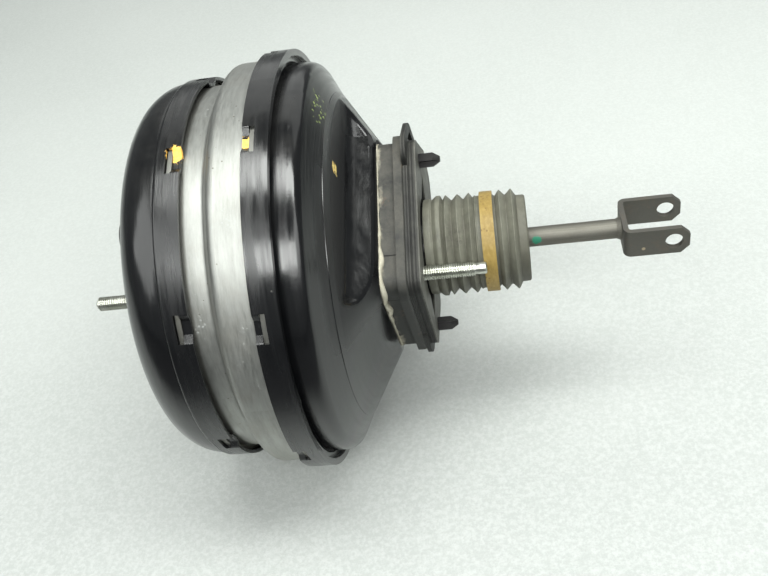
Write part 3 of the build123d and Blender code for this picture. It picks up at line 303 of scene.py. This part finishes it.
def cast_aluminium(name):
    n = Nodes(name, metallic=1.0)
    grain = n.noise(1.0, 6, 0.7, vector=n.around(16, 900))
    bands = n.noise(1.0, 3, 0.5, vector=n.around(3, 260))
    cloud = n.noise(32, 5, 0.65)
    colour = n.mix(n.span(grain, 0.3, 0.7), (0.28, 0.285, 0.268), (0.385, 0.39, 0.368))
    colour = n.mix(n.span(bands, 0.4, 0.7, 0.0, 0.3), colour, (0.56, 0.565, 0.55))
    stain = n.times(n.span(cloud, 0.5, 0.75), 0.35)
    colour = n.mix(stain, colour, (0.27, 0.25, 0.205))
    low = n.times(n.span(n.z, -0.03, -0.115), n.span(n.noise(55, 5, 0.7), 0.3, 0.7))
    colour = n.mix(n.times(low, 0.7), colour, (0.40, 0.365, 0.285))
    # white bloom and pits
    bloom = n.times(n.span(n.cells(420), 0.3, 0.18), n.span(n.noise(45, 4, 0.6), 0.6, 0.68))
    colour = n.mix(n.times(bloom, 0.4), colour, (0.66, 0.68, 0.68))
    pits = n.times(n.span(n.cells(210), 0.11, 0.07), n.span(n.noise(25, 2, 0.5), 0.5, 0.6))
    colour = n.mix(n.times(pits, 0.8), colour, (0.14, 0.125, 0.10))
    # painted shade on the aluminium where it runs in towards each band
    edge = n.most(*(n.span(n.x, start * MM, end * MM) for start, end in BAND_SHADES))
    colour = n.mix(n.times(edge, 0.6), colour, (0.10, 0.095, 0.08))
    rough = n.span(n.plus(grain, n.times(cloud, 0.6)), 0.5, 1.1, 0.43, 0.6)
    rough = n.plus(rough, n.times(bloom, 0.35), clamp=True)
    height = n.plus(n.times(grain, 0.5), n.times(pits, -1.2))
    height = n.plus(height, n.times(bloom, 0.5))
    return n.finish(colour, rough, n.bump(height, 0.00006))


def moulded(name, dark, light, rough_low, rough_high, dust=0.0, specular=0.5):
    """Moulded plastic or rubber with a fine skin, mottling and some dust."""
    n = Nodes(name, specular=specular)
    cloud = n.noise(38, 5, 0.65)
    skin = n.noise(900, 4, 0.6)
    colour = n.mix(n.span(cloud, 0.3, 0.72), dark, light)
    if dust:
        colour = n.mix(n.settled(0.1, 0.05, dust, 75), colour, (0.30, 0.275, 0.235))
    rough = n.span(n.plus(cloud, n.times(skin, 0.5)), 0.4, 1.1, rough_low, rough_high)
    return n.finish(colour, rough, n.bump(skin, 0.00008, 0.8))


def spacer_plastic(name):
    n = Nodes(name, specular=0.3)
    cloud = n.noise(30, 5, 0.65)
    skin = n.noise(700, 4, 0.6)
    colour = n.mix(n.span(cloud, 0.3, 0.7), (0.019, 0.02, 0.0188), (0.040, 0.0415, 0.0385))
    colour = n.mix(n.settled(0.1, 0.05, 0.6, 60, high=0.66), colour, (0.135, 0.126, 0.104))
    smear = n.plus(n.x, n.times(n.noise(140, 5, 0.7), 0.006))
    smear = n.times(n.span(smear, -0.0158, -0.0186), n.span(n.noise(90, 3, 0.6), 0.48, 0.62))
    colour = n.mix(n.times(smear, 0.8), colour, (0.50, 0.46, 0.36))
    rust = n.times(n.span(n.noise(85, 6, 0.75), 0.6, 0.72), 0.5)
    colour = n.mix(rust, colour, (0.17, 0.11, 0.065))
    # joints between the wall's moulded segments
    joints = 0.0
    for turn in SPACER_JOINTS:
        away = n.math("ABSOLUTE", n.minus(n.turn(), math.radians(turn)))
        joints = n.plus(joints, n.span(away, 0.0085, 0.0045))
    joints = n.times(joints, n.span(n.x, FLANGE_FRONT * MM, (FLANGE_FRONT - 0.6) * MM))
    colour = n.mix(joints, colour, (0.006, 0.006, 0.006))
    rough = n.span(cloud, 0.3, 0.8, 0.5, 0.72)
    height = n.minus(n.times(skin, 0.3), joints)
    return n.finish(colour, rough, n.bump(height, 0.0003, 0.8))


def gasket_foam(name):
    n = Nodes(name, specular=0.3)
    cloud = n.noise(36, 5, 0.65)
    skin = n.noise(1100, 4, 0.7)
    layers = n.math("SINE", n.times(n.x, 2 * math.pi / 0.00175))
    side = n.span(n.x, -0.0004, -0.0010)
    colour = n.mix(n.span(cloud, 0.3, 0.7), (0.008, 0.0085, 0.008), (0.019, 0.0195, 0.018))
    colour = n.mix(n.settled(0.1, 0.04, 0.45, 70, high=0.66), colour, (0.12, 0.117, 0.102))
    groove = n.times(n.span(layers, -0.3, -0.9), side)
    colour = n.mix(n.times(groove, 0.7), colour, (0.012, 0.012, 0.012))
    # chalky dust left where the rear face was pressed against the car
    chalk = n.times(n.minus(1.0, side), n.span(n.noise(80, 6, 0.7), 0.3, 0.62, 0.3, 0.9))
    colour = n.mix(chalk, colour, (0.13, 0.13, 0.113))
    rough = n.span(cloud, 0.3, 0.8, 0.5, 0.75)
    height = n.plus(n.times(skin, 0.15), n.times(groove, -1.0))
    return n.finish(colour, rough, n.bump(height, 0.0003, 0.8))


def boot_rubber(name):
    n = Nodes(name)
    cloud = n.noise(42, 5, 0.65)
    skin = n.noise(900, 5, 0.7)
    rings = n.noise(1.0, 4, 0.6, vector=n.around(5, 420))
    colour = n.mix(n.span(cloud, 0.3, 0.72), (0.074, 0.074, 0.056), (0.13, 0.13, 0.101))
    colour = n.mix(n.span(rings, 0.4, 0.75, 0.0, 0.5), colour, (0.168, 0.167, 0.13))
    # painted shade in the valleys between the folds
    valley_shade = n.span(n.radius(), 0.0268, 0.0250)
    colour = n.mix(n.times(valley_shade, 0.6), colour, (0.045, 0.042, 0.03))
    scuff = n.near((0.018, -0.018, 0.020), 0.012, 0.009)
    scuff = n.times(scuff, n.span(n.noise(240, 5, 0.8), 0.46, 0.62))
    colour = n.mix(n.times(scuff, 0.75), colour, (0.045, 0.04, 0.033))
    colour = n.mix(n.settled(0.2, 0.0, 0.3, 90, low=0.35), colour, (0.27, 0.262, 0.205))
    rough = n.span(cloud, 0.3, 0.8, 0.52, 0.72)
    return n.finish(colour, rough, n.bump(n.plus(skin, n.times(rings, 0.6)), 0.0001, 0.8))


def ochre_band(name):
    n = Nodes(name, specular=0.4)
    cloud = n.noise(60, 4, 0.6)
    streaks = n.noise(1.0, 5, 0.6, vector=n.around(8, 600))
    colour = n.mix(n.span(cloud, 0.3, 0.72), (0.215, 0.142, 0.033), (0.31, 0.216, 0.06))
    colour = n.mix(n.span(streaks, 0.45, 0.8, 0.0, 0.45), colour, (0.45, 0.335, 0.125))
    spots = n.times(n.span(n.cells(520), 0.35, 0.18), n.span(n.noise(110, 3, 0.6), 0.5, 0.62))
    colour = n.mix(n.times(spots, 0.8), colour, (0.13, 0.07, 0.02))
    rough = n.span(cloud, 0.3, 0.8, 0.42, 0.62)
    return n.finish(colour, rough, n.bump(n.minus(streaks, spots), 0.00006, 0.8))


def zinc(name):
    n = Nodes(name, metallic=1.0)
    cloud = n.noise(120, 4, 0.6)
    skin = n.noise(1500, 4, 0.6)
    colour = n.mix(n.span(cloud, 0.3, 0.72), (0.45, 0.46, 0.395), (0.66, 0.67, 0.62))
    dull = n.times(n.span(n.noise(70, 5, 0.7), 0.55, 0.72), 0.4)
    colour = n.mix(dull, colour, (0.30, 0.29, 0.24))
    rough = n.span(cloud, 0.3, 0.8, 0.26, 0.42)
    return n.finish(colour, rough, n.bump(skin, 0.00002, 0.8))


def rod_steel(name, dabs):
    n = Nodes(name, metallic=1.0)
    along = n.combine(n.times(n.x, 45), n.times(n.y, 1500), n.times(n.z, 1500))
    drawn = n.noise(1.0, 5, 0.7, vector=along)
    cloud = n.noise(70, 5, 0.65)
    skin = n.noise(1300, 4, 0.6)
    colour = n.mix(n.span(drawn, 0.3, 0.72), (0.15, 0.144, 0.124), (0.215, 0.208, 0.182))
    stain = n.times(n.span(cloud, 0.52, 0.72), 0.4)
    colour = n.mix(stain, colour, (0.20, 0.165, 0.115))
    rough = n.span(n.plus(cloud, skin), 0.6, 1.3, 0.56, 0.7)
    metal = 1.0
    wobble = n.times(n.minus(n.noise(420, 4, 0.7), 0.5), 0.006)
    for place, reach, tint in dabs:
        mask = n.near(place, reach, 0.0006, wobble)
        colour = n.mix(mask, colour, tint)
        metal = n.minus(metal, mask, clamp=True)
    return n.finish(colour, rough, n.bump(n.plus(drawn, skin), 0.00004, 0.8), metal)


def clevis_steel(name):
    n = Nodes(name, metallic=1.0)
    cloud = n.noise(75, 5, 0.65)
    skin = n.noise(1000, 5, 0.7)
    colour = n.mix(n.span(cloud, 0.3, 0.72), (0.02, 0.0192, 0.017), (0.052, 0.05, 0.044))
    rust = n.times(n.span(n.noise(95, 6, 0.75), 0.5, 0.68), 0.75)
    colour = n.mix(rust, colour, (0.088, 0.052, 0.024))
    # painted highlight: the rolled edges are lighter than the faces
    geometry = n.new("ShaderNodeNewGeometry")
    worn = n.span(geometry.outputs["Pointiness"], 0.52, 0.6)
    colour = n.mix(n.times(worn, 0.5), colour, (0.26, 0.25, 0.225))
    chip = n.near((0.118, -0.0152, -0.0035), 0.0012, 0.0005)
    colour = n.mix(chip, colour, (0.5, 0.42, 0.3))
    rough = n.span(n.plus(cloud, skin), 0.6, 1.3, 0.46, 0.64)
    return n.finish(colour, rough, n.bump(skin, 0.00006, 0.8))


def bare_metal(name, dark, light, rough_low=0.3, rough_high=0.5, grain=1200):
    n = Nodes(name, metallic=1.0)
    cloud = n.noise(50, 4, 0.6)
    rings = n.noise(1.0, 5, 0.6, vector=n.around(10, grain))
    colour = n.mix(n.span(n.plus(cloud, rings), 0.7, 1.35), dark, light)
    rough = n.span(cloud, 0.3, 0.8, rough_low, rough_high)
    return n.finish(colour, rough, n.bump(rings, 0.00004, 0.8))


def foam(name, dark, light, scale):
    n = Nodes(name, specular=0.2)
    pores = n.cells(scale)
    colour = n.mix(n.span(pores, 0.1, 0.5), dark, light)
    return n.finish(colour, n.span(pores, 0.0, 0.6, 0.85, 0.98), n.bump(pores, 0.0005, 0.8))


def sealant(name):
    n = Nodes(name, specular=0.35)
    cloud = n.noise(150, 5, 0.65)
    colour = n.mix(n.span(cloud, 0.3, 0.7), (0.33, 0.305, 0.225), (0.52, 0.50, 0.41))
    dirt = n.times(n.span(n.noise(90, 6, 0.75), 0.54, 0.7), 0.6)
    colour = n.mix(dirt, colour, (0.17, 0.14, 0.10))
    rough = n.span(cloud, 0.3, 0.8, 0.5, 0.75)
    return n.finish(colour, rough, n.bump(n.noise(500, 4, 0.7), 0.0003, 0.8))


ORANGE = (0.85, 0.42, 0.06)
PALE_ORANGE = (0.90, 0.55, 0.16)
INK = (0.28, 0.36, 0.10)
MATERIALS = {
    "front_shell": black_paint(
        "paint_front", FRONT_BAND, dabs=[(on_ring(-110.2, 107.0, 108.2), 0.0046, ORANGE)]
    ),
    "rear_shell": black_paint(
        "paint_rear",
        REAR_BAND,
        dabs=[
            (on_ring(-71.3, 115.7, 111.0), 0.0040, ORANGE),
            (on_ring(-37.6, 77.5, 104.8), 0.0031, PALE_ORANGE),
            (on_ring(-37.6, 73.0, 103.0), 0.0029, PALE_ORANGE),
        ],
        inks=[
            (on_ring(-43.0, 98, turn), reach, INK)
            for turn, reach in ((84.5, 0.0062), (89, 0.0066), (93.5, 0.0066))
        ],
        sunk=SUNK_BOSS,
    ),
    "centre_housing": cast_aluminium("housing_aluminium"),
    "spacer": spacer_plastic("spacer_plastic"),
    "bulkhead_gasket": gasket_foam("gasket_foam"),
    "push_in_clips": moulded(
        "clip_plastic", (0.004, 0.004, 0.0045), (0.008, 0.008, 0.0085), 0.45, 0.6, 0.03, specular=0.25
    ),
    "tie_bolts": zinc("zinc_plate"),
    "sealant_bead": sealant("sealant"),
    "boot": boot_rubber("boot_rubber"),
    "boot_band": ochre_band("ochre_band"),
    "push_rod": rod_steel("rod_steel", dabs=[(on_ring(61.5, 5.5, 163), 0.0028, (0.02, 0.19, 0.11))]),
    "clevis": clevis_steel("clevis_steel"),
    "vacuum_grommet": moulded(
        "grommet_rubber", (0.012, 0.012, 0.012), (0.024, 0.024, 0.023), 0.45, 0.62, 0.3
    ),
    "return_spring": bare_metal("spring_steel", (0.13, 0.13, 0.135), (0.27, 0.27, 0.275), 0.28, 0.42),
    "output_rod": bare_metal("turned_steel", (0.36, 0.35, 0.32), (0.56, 0.55, 0.51)),
    "front_diaphragm_plate": bare_metal(
        "pressed_aluminium", (0.52, 0.52, 0.53), (0.74, 0.74, 0.74), 0.34, 0.5, 600
    ),
    "valve_body": moulded("valve_plastic", (0.018, 0.018, 0.02), (0.035, 0.035, 0.037), 0.3, 0.45),
    "neck_bearing": moulded("guide_plastic", (0.50, 0.48, 0.41), (0.64, 0.62, 0.55), 0.4, 0.55),
    "neck_seal": moulded("seal_rubber", (0.014, 0.014, 0.014), (0.026, 0.026, 0.025), 0.45, 0.6),
    "air_filter": foam("filter_foam", (0.05, 0.05, 0.052), (0.17, 0.17, 0.175), 900),
    "silencer": foam("felt", (0.30, 0.28, 0.25), (0.52, 0.50, 0.45), 1500),
}
# nodes that share the look of another
SAME = {
    "neck_bearing": ["wall_bearing", "poppet_stop"],
    "neck_seal": ["wall_seal", "wall_bolt_seals", "plate_bolt_seals", "rear_diaphragm",
                  "front_diaphragm", "reaction_disc", "poppet_valve"],
    "front_diaphragm_plate": ["rear_diaphragm_plate"],
    "return_spring": ["poppet_spring", "input_spring", "spring_washer", "rear_plate_retainer",
                      "front_plate_retainer", "output_rod_retainer"],
    "output_rod": ["stop_key", "plunger"],
}


def dress(node, material):
    """Puts a material in every slot of a CAD node."""
    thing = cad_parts[node]
    if not thing.material_slots:
        thing.data.materials.append(material)
    for slot in thing.material_slots:
        slot.material = material


for node, material in MATERIALS.items():
    dress(node, material)
    for other in SAME.get(node, []):
        dress(other, material)


# ------------------------------------------------------------------ piece helpers
def add_piece(name, mesh, material, body):
    """Makes an object from a bmesh, gives it a material and hangs it on a body."""
    data = bpy.data.meshes.new(name)
    bmesh.ops.recalc_face_normals(mesh, faces=mesh.faces)
    mesh.to_mesh(data)
    mesh.free()
    data.materials.append(material)
    for face in data.polygons:
        face.use_smooth = True
    thing = bpy.data.objects.new(name, data)
    bpy.context.scene.collection.objects.link(thing)
    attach(thing, body)
    return thing


def skin_rows(mesh, rows, closed=False):
    """Faces between neighbouring rows of points, each of which runs round in a ring."""
    following = rows[1:] + rows[:1] if closed else rows[1:]
    for first, second in zip(rows, following):
        for step in range(len(first)):
            after = (step + 1) % len(first)
            mesh.faces.new((first[step], first[after], second[after], second[step]))


def lathe(mesh, profile, centre=(0.0, 0.0), steps=BOLT_STEPS, wobble=None, closed=False):
    """Turns a (station, radius) profile, in millimetres, about an axis parallel to X."""
    rows = []
    for station, radius in profile:
        row = []
        for step in range(steps):
            angle = 2 * math.pi * step / steps
            x, r = (station, radius) if wobble is None else wobble(station, radius, angle)
            y = centre[0] + r * math.cos(angle)
            z = centre[1] + r * math.sin(angle)
            row.append(mesh.verts.new((x * MM, y * MM, z * MM)))
        rows.append(row)
    skin_rows(mesh, rows, closed)
    return rows


def thread(mesh, start, end, centre, pitch=1.25, depth=0.72, per_pitch=8):
    """Single-start thread from one station to another, running out at both ends."""
    steps = BOLT_STEPS
    count = max(2, int(abs(end - start) / pitch * per_pitch))
    rows = []
    for index in range(count + 1):
        station = start + (end - start) * index / count
        fade = min(1.0, 2.0 * index / per_pitch, 2.0 * (count - index) / per_pitch)
        row = []
        for step in range(steps):
            angle = 2 * math.pi * step / steps
            phase = (station / pitch - step / steps) % 1.0
            flank = min(1.0, max(0.0, 2.4 * (abs(phase - 0.5) * 2) - 0.35))
            radius = BOLT_R - depth * (1.0 - flank) * fade
            y = centre[0] + radius * math.cos(angle)
            z = centre[1] + radius * math.sin(angle)
            row.append(mesh.verts.new((station * MM, y * MM, z * MM)))
        rows.append(row)
    skin_rows(mesh, rows)


# ------------------------------------------------------------------ through bolts with real threads
def bolt(name, centre):
    mesh = bmesh.new()
    # front end: chamfered tip, then its thread
    chamfer = [(BOLT_FRONT, 2.3), (BOLT_FRONT + 0.35, 2.5), (BOLT_FRONT + 1.4, 3.45)]
    mesh.faces.new(lathe(mesh, chamfer, centre)[0])
    thread(mesh, BOLT_FRONT + 1.4, FRONT - 1.0, centre)
    # shank with a collar inside each shell
    shank = [
        (FRONT - 1.0, BOLT_R), (FRONT, SHANK_R),
        (FRONT + COLLAR_NEAR, SHANK_R), (FRONT + COLLAR_NEAR, COLLAR_R),
        (FRONT + COLLAR_FAR, COLLAR_R), (FRONT + COLLAR_FAR, SHANK_R),
        (HUB - COLLAR_FAR, SHANK_R), (HUB - COLLAR_FAR, COLLAR_R),
        (HUB - COLLAR_NEAR, COLLAR_R), (HUB - COLLAR_NEAR, SHANK_R),
        (-0.4, SHANK_R), (0.0, 3.95),
    ]
    lathe(mesh, shank, centre)
    # rear end: thread, groove, dog point with a dimple
    tip = BOLT_REAR - BOLT_DOG_POINT
    thread(mesh, 0.0, tip, centre)
    point = [
        (tip, 3.3), (tip + 0.5, 3.05), (tip + 1.1, 3.05), (tip + 1.4, 3.28), (BOLT_REAR - 0.9, 3.28),
        (BOLT_REAR - 0.3, 3.05), (BOLT_REAR, 2.5), (BOLT_REAR, 0.9), (BOLT_REAR - 0.4, 0.4),
    ]
    mesh.faces.new(lathe(mesh, point, centre)[-1])
    piece = add_piece(name, mesh, MATERIALS["tie_bolts"], "housing")
    return piece


for index, turn in enumerate((BOLT_TURN, BOLT_TURN + 180)):
    angle = math.radians(turn)
    centre = (BOLT_CIRCLE * math.cos(angle), BOLT_CIRCLE * math.sin(angle))
    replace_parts(bolt(f"through_bolt_{index}", centre), "tie_bolts")


# ------------------------------------------------------------------ rubber boot
def rounded(points, size):
    """Rounds the corners of a (station, radius) path with short arcs."""
    path = [points[0]]
    for before, corner, after in zip(points, points[1:], points[2:]):
        a = Vector(before) - Vector(corner)
        b = Vector(after) - Vector(corner)
        reach = min(size, a.length * 0.45, b.length * 0.45)
        start = Vector(corner) + a.normalized() * reach
        end = Vector(corner) + b.normalized() * reach
        for t in (0.0, 0.25, 0.5, 0.75, 1.0):
            p = start * (1 - t) ** 2 + Vector(corner) * 2 * t * (1 - t) + end * t * t
            path.append((p.x, p.y))
    path.append(points[-1])
    return path


def boot_piece():
    mesh = bmesh.new()

    def sag(station, radius, angle):
        if radius <= 24 or not 11 < station < 52:
            return station, radius
        return station + BOOT_SAG * math.sin(3 * angle + station * 0.3), radius

    profile = rounded(BOOT_OUTSIDE, BOOT_ROUNDING) + BOOT_INSIDE
    lathe(mesh, profile, steps=128, wobble=sag, closed=True)
    piece = add_piece("rubber_boot", mesh, MATERIALS["boot"], "housing")
    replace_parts(piece, "boot")
    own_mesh(piece)
    return piece


boot_piece()


# ------------------------------------------------------------------ sealant round the spacer
def wall_points(per_corner=7, spacing=1.6):
    """Points along the spacer's rounded outline with their outward directions, before the turn."""
    points = []
    count = len(WALL_OUTLINE)
    ends = []
    for index in range(count):
        corner = Vector(WALL_OUTLINE[index])
        before = (Vector(WALL_OUTLINE[index - 1]) - corner).normalized()
        after = (Vector(WALL_OUTLINE[(index + 1) % count]) - corner).normalized()
        half = math.acos(max(-1.0, min(1.0, before.dot(after)))) / 2
        centre = corner + (before + after).normalized() * WALL_ROUNDING / math.sin(half)
        reach = WALL_ROUNDING / math.tan(half)
        ends.append((corner + before * reach, corner + after * reach, centre))
    for index, (start, end, centre) in enumerate(ends):
        first = start - centre
        swing = first.angle_signed(end - centre)
        for step in range(per_corner):
            out = first.normalized()
            angle = -swing * step / (per_corner - 1)
            out = Vector((out.x * math.cos(angle) - out.y * math.sin(angle),
                          out.x * math.sin(angle) + out.y * math.cos(angle)))
            points.append((centre + out * (WALL_ROUNDING - WALL_INSET), out))
        last, out = points[-1]
        run = ends[(index + 1) % count][0] - end
        steps = max(1, int(run.length / spacing))
        for step in range(1, steps):
            points.append((last + run * step / steps, out))
    return points


def swell(turn):
    """How much sealant stands out at an angle from +Y, 0 to 1: most of it on the near side."""
    rise = min(1.0, max(0.0, (turn - 108) / 45))
    fall = min(1.0, max(0.0, (212 - turn) / 22))
    return (rise * rise * (3 - 2 * rise)) * fall


def sealant_section(index, amount, arc_steps=8):
    """(outward, up) points of the bead at one place, with the lumps it has there."""
    lump = math.sin(index * 0.83) * math.sin(index * 0.31 + 1.0) + 0.5 * math.sin(index * 1.9 + 0.4)
    width = 0.75 + 0.25 * lump * (1 - amount) + amount * (1.5 + 0.65 * lump)
    height = 0.6 + 0.2 * lump * (1 - amount) + amount * (1.5 + 0.8 * math.sin(index * 0.57 + 2.0))
    width, height = max(0.3, width), max(0.25, height)
    section = [(-0.3, 0.02)]
    for k in range(arc_steps + 1):
        angle = math.pi / 2 * k / arc_steps
        section.append((width * math.cos(angle) ** 0.8, 0.02 + height * math.sin(angle)))
    return section + [(-0.3, height)]


def sealant_piece():
    mesh = bmesh.new()
    rows = []
    c, s = math.cos(PATTERN_TURN), math.sin(PATTERN_TURN)
    for index, (place, out) in enumerate(wall_points()):
        p, q = place
        turn = math.degrees(math.atan2(p * s + q * c, p * c - q * s)) % 360
        row = []
        for outward, up in sealant_section(index, swell(turn)):
            a, b = p + out.x * outward, q + out.y * outward
            row.append(mesh.verts.new(((HUB + up) * MM, (a * c - b * s) * MM, (a * s + b * c) * MM)))
        rows.append(row)
    skin_rows(mesh, rows, closed=True)
    piece = add_piece("sealant_lumps", mesh, MATERIALS["sealant_bead"], "housing")
    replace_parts(piece, "sealant_bead")
    return piece


sealant_piece()


# ------------------------------------------------------------------ stage, light, camera
# in metres and watts
FLOOR_HALF = 4.0
# where the painted light on the floor begins and is full, along Y
FLOOR_LIT_FROM = -0.08
FLOOR_LIT_TO = 0.24
# where the painted shade on the floor begins and is full, along Y
FLOOR_SHADE_START = -0.15
FLOOR_SHADE_FULL = -0.30
COOL_WHITE = (0.975, 1.0, 0.975)
COOLER_WHITE = (0.975, 1.0, 0.98)
# name, place, target, size, power and colour of each panel
PANELS = [
    ("top", (0.35, -0.13, 1.5), (0.35, -0.06, 0), (1.9, 0.5), 34, (0.975, 1.0, 0.97)),
    ("front", (0.2, -1.2, 1.09), (0.2, 0, 0), (1.6, 0.4), 22, COOL_WHITE),
    ("side", (-1.12, -0.65, 1.09), (0, 0, 0), (1.3, 1.2), 13, COOLER_WHITE),
    ("right", (1.14, -0.8, 0.97), (0, 0, 0), (0.8, 0.8), 6, COOLER_WHITE),
    ("back", (0.35, 1.35, 1.05), (0.1, 0, 0), (2.4, 1.6), 9, COOL_WHITE),
]
ROOM_COLOUR = (0.62, 0.66, 0.66, 1)
ROOM_STRENGTH = 0.25
# the camera that fits the photograph
CAMERA_PLACE = (0.0493, -0.41525, 0.34091)
CAMERA_RIGHT = (0.9858, 0.0424, -0.1627)
CAMERA_BACK = (0.1403, -0.7404, 0.6574)
LENS = 44.36
SENSOR = 36.0


def floor_material():
    n = Nodes("floor_sheet")
    cloud = n.noise(3.5, 4, 0.6)
    grain = n.noise(420, 5, 0.7)
    colour = n.mix(n.span(cloud, 0.3, 0.7), (0.35, 0.368, 0.354), (0.40, 0.413, 0.40))
    colour = n.mix(n.span(grain, 0.42, 0.62, 0.0, 0.7), colour, (0.48, 0.498, 0.484))
    # painted light: the floor grows paler towards the back
    pale = n.span(n.y, FLOOR_LIT_FROM, FLOOR_LIT_TO, 0.0, 0.45)
    colour = n.mix(pale, colour, (0.62, 0.648, 0.62))
    # painted shade: the floor darkens towards the room in front of it
    dark = n.span(n.y, FLOOR_SHADE_START, FLOOR_SHADE_FULL, smooth=True)
    colour = n.mix(dark, colour, (0.03, 0.031, 0.033))
    return n.finish(colour, n.span(cloud, 0.3, 0.7, 0.45, 0.6), n.bump(grain, 0.0006, 0.6))


def make_floor():
    mesh = bmesh.new()
    level = cad_box[0][2]
    corners = ((-1, -1), (1, -1), (1, 1), (-1, 1))
    mesh.faces.new([mesh.verts.new((x * FLOOR_HALF, y * FLOOR_HALF, level)) for x, y in corners])
    data = bpy.data.meshes.new("floor")
    mesh.to_mesh(data)
    mesh.free()
    data.materials.append(floor_material())
    thing = bpy.data.objects.new("floor", data)
    bpy.context.scene.collection.objects.link(thing)


make_floor()


def area_light(name, place, target, size, power, colour):
    light = bpy.data.lights.new(name, "AREA")
    light.shape = "RECTANGLE"
    light.size, light.size_y = size
    light.energy = power
    light.color = colour
    thing = bpy.data.objects.new(name, light)
    thing.location = place
    thing.rotation_euler = (Vector(target) - Vector(place)).to_track_quat("-Z", "Y").to_euler()
    bpy.context.scene.collection.objects.link(thing)


for panel in PANELS:
    area_light(*panel)

world = bpy.data.worlds.new("studio")
world.use_nodes = True
background = world.node_tree.nodes["Background"]
background.inputs["Color"].default_value = ROOM_COLOUR
background.inputs["Strength"].default_value = ROOM_STRENGTH
bpy.context.scene.world = world

camera_data = bpy.data.cameras.new("camera")
camera_data.lens = LENS
camera_data.sensor_width = SENSOR
camera_data.clip_start = 0.01
camera_data.clip_end = 20.0
camera = bpy.data.objects.new("camera", camera_data)
right = Vector(CAMERA_RIGHT).normalized()
back = Vector(CAMERA_BACK).normalized()
axes = Matrix((right, back.cross(right).normalized(), back)).transposed()
camera.matrix_world = Matrix.Translation(CAMERA_PLACE) @ axes.to_4x4()
bpy.context.scene.collection.objects.link(camera)
bpy.context.scene.camera = camera

bpy.context.scene.view_settings.view_transform = "Standard"
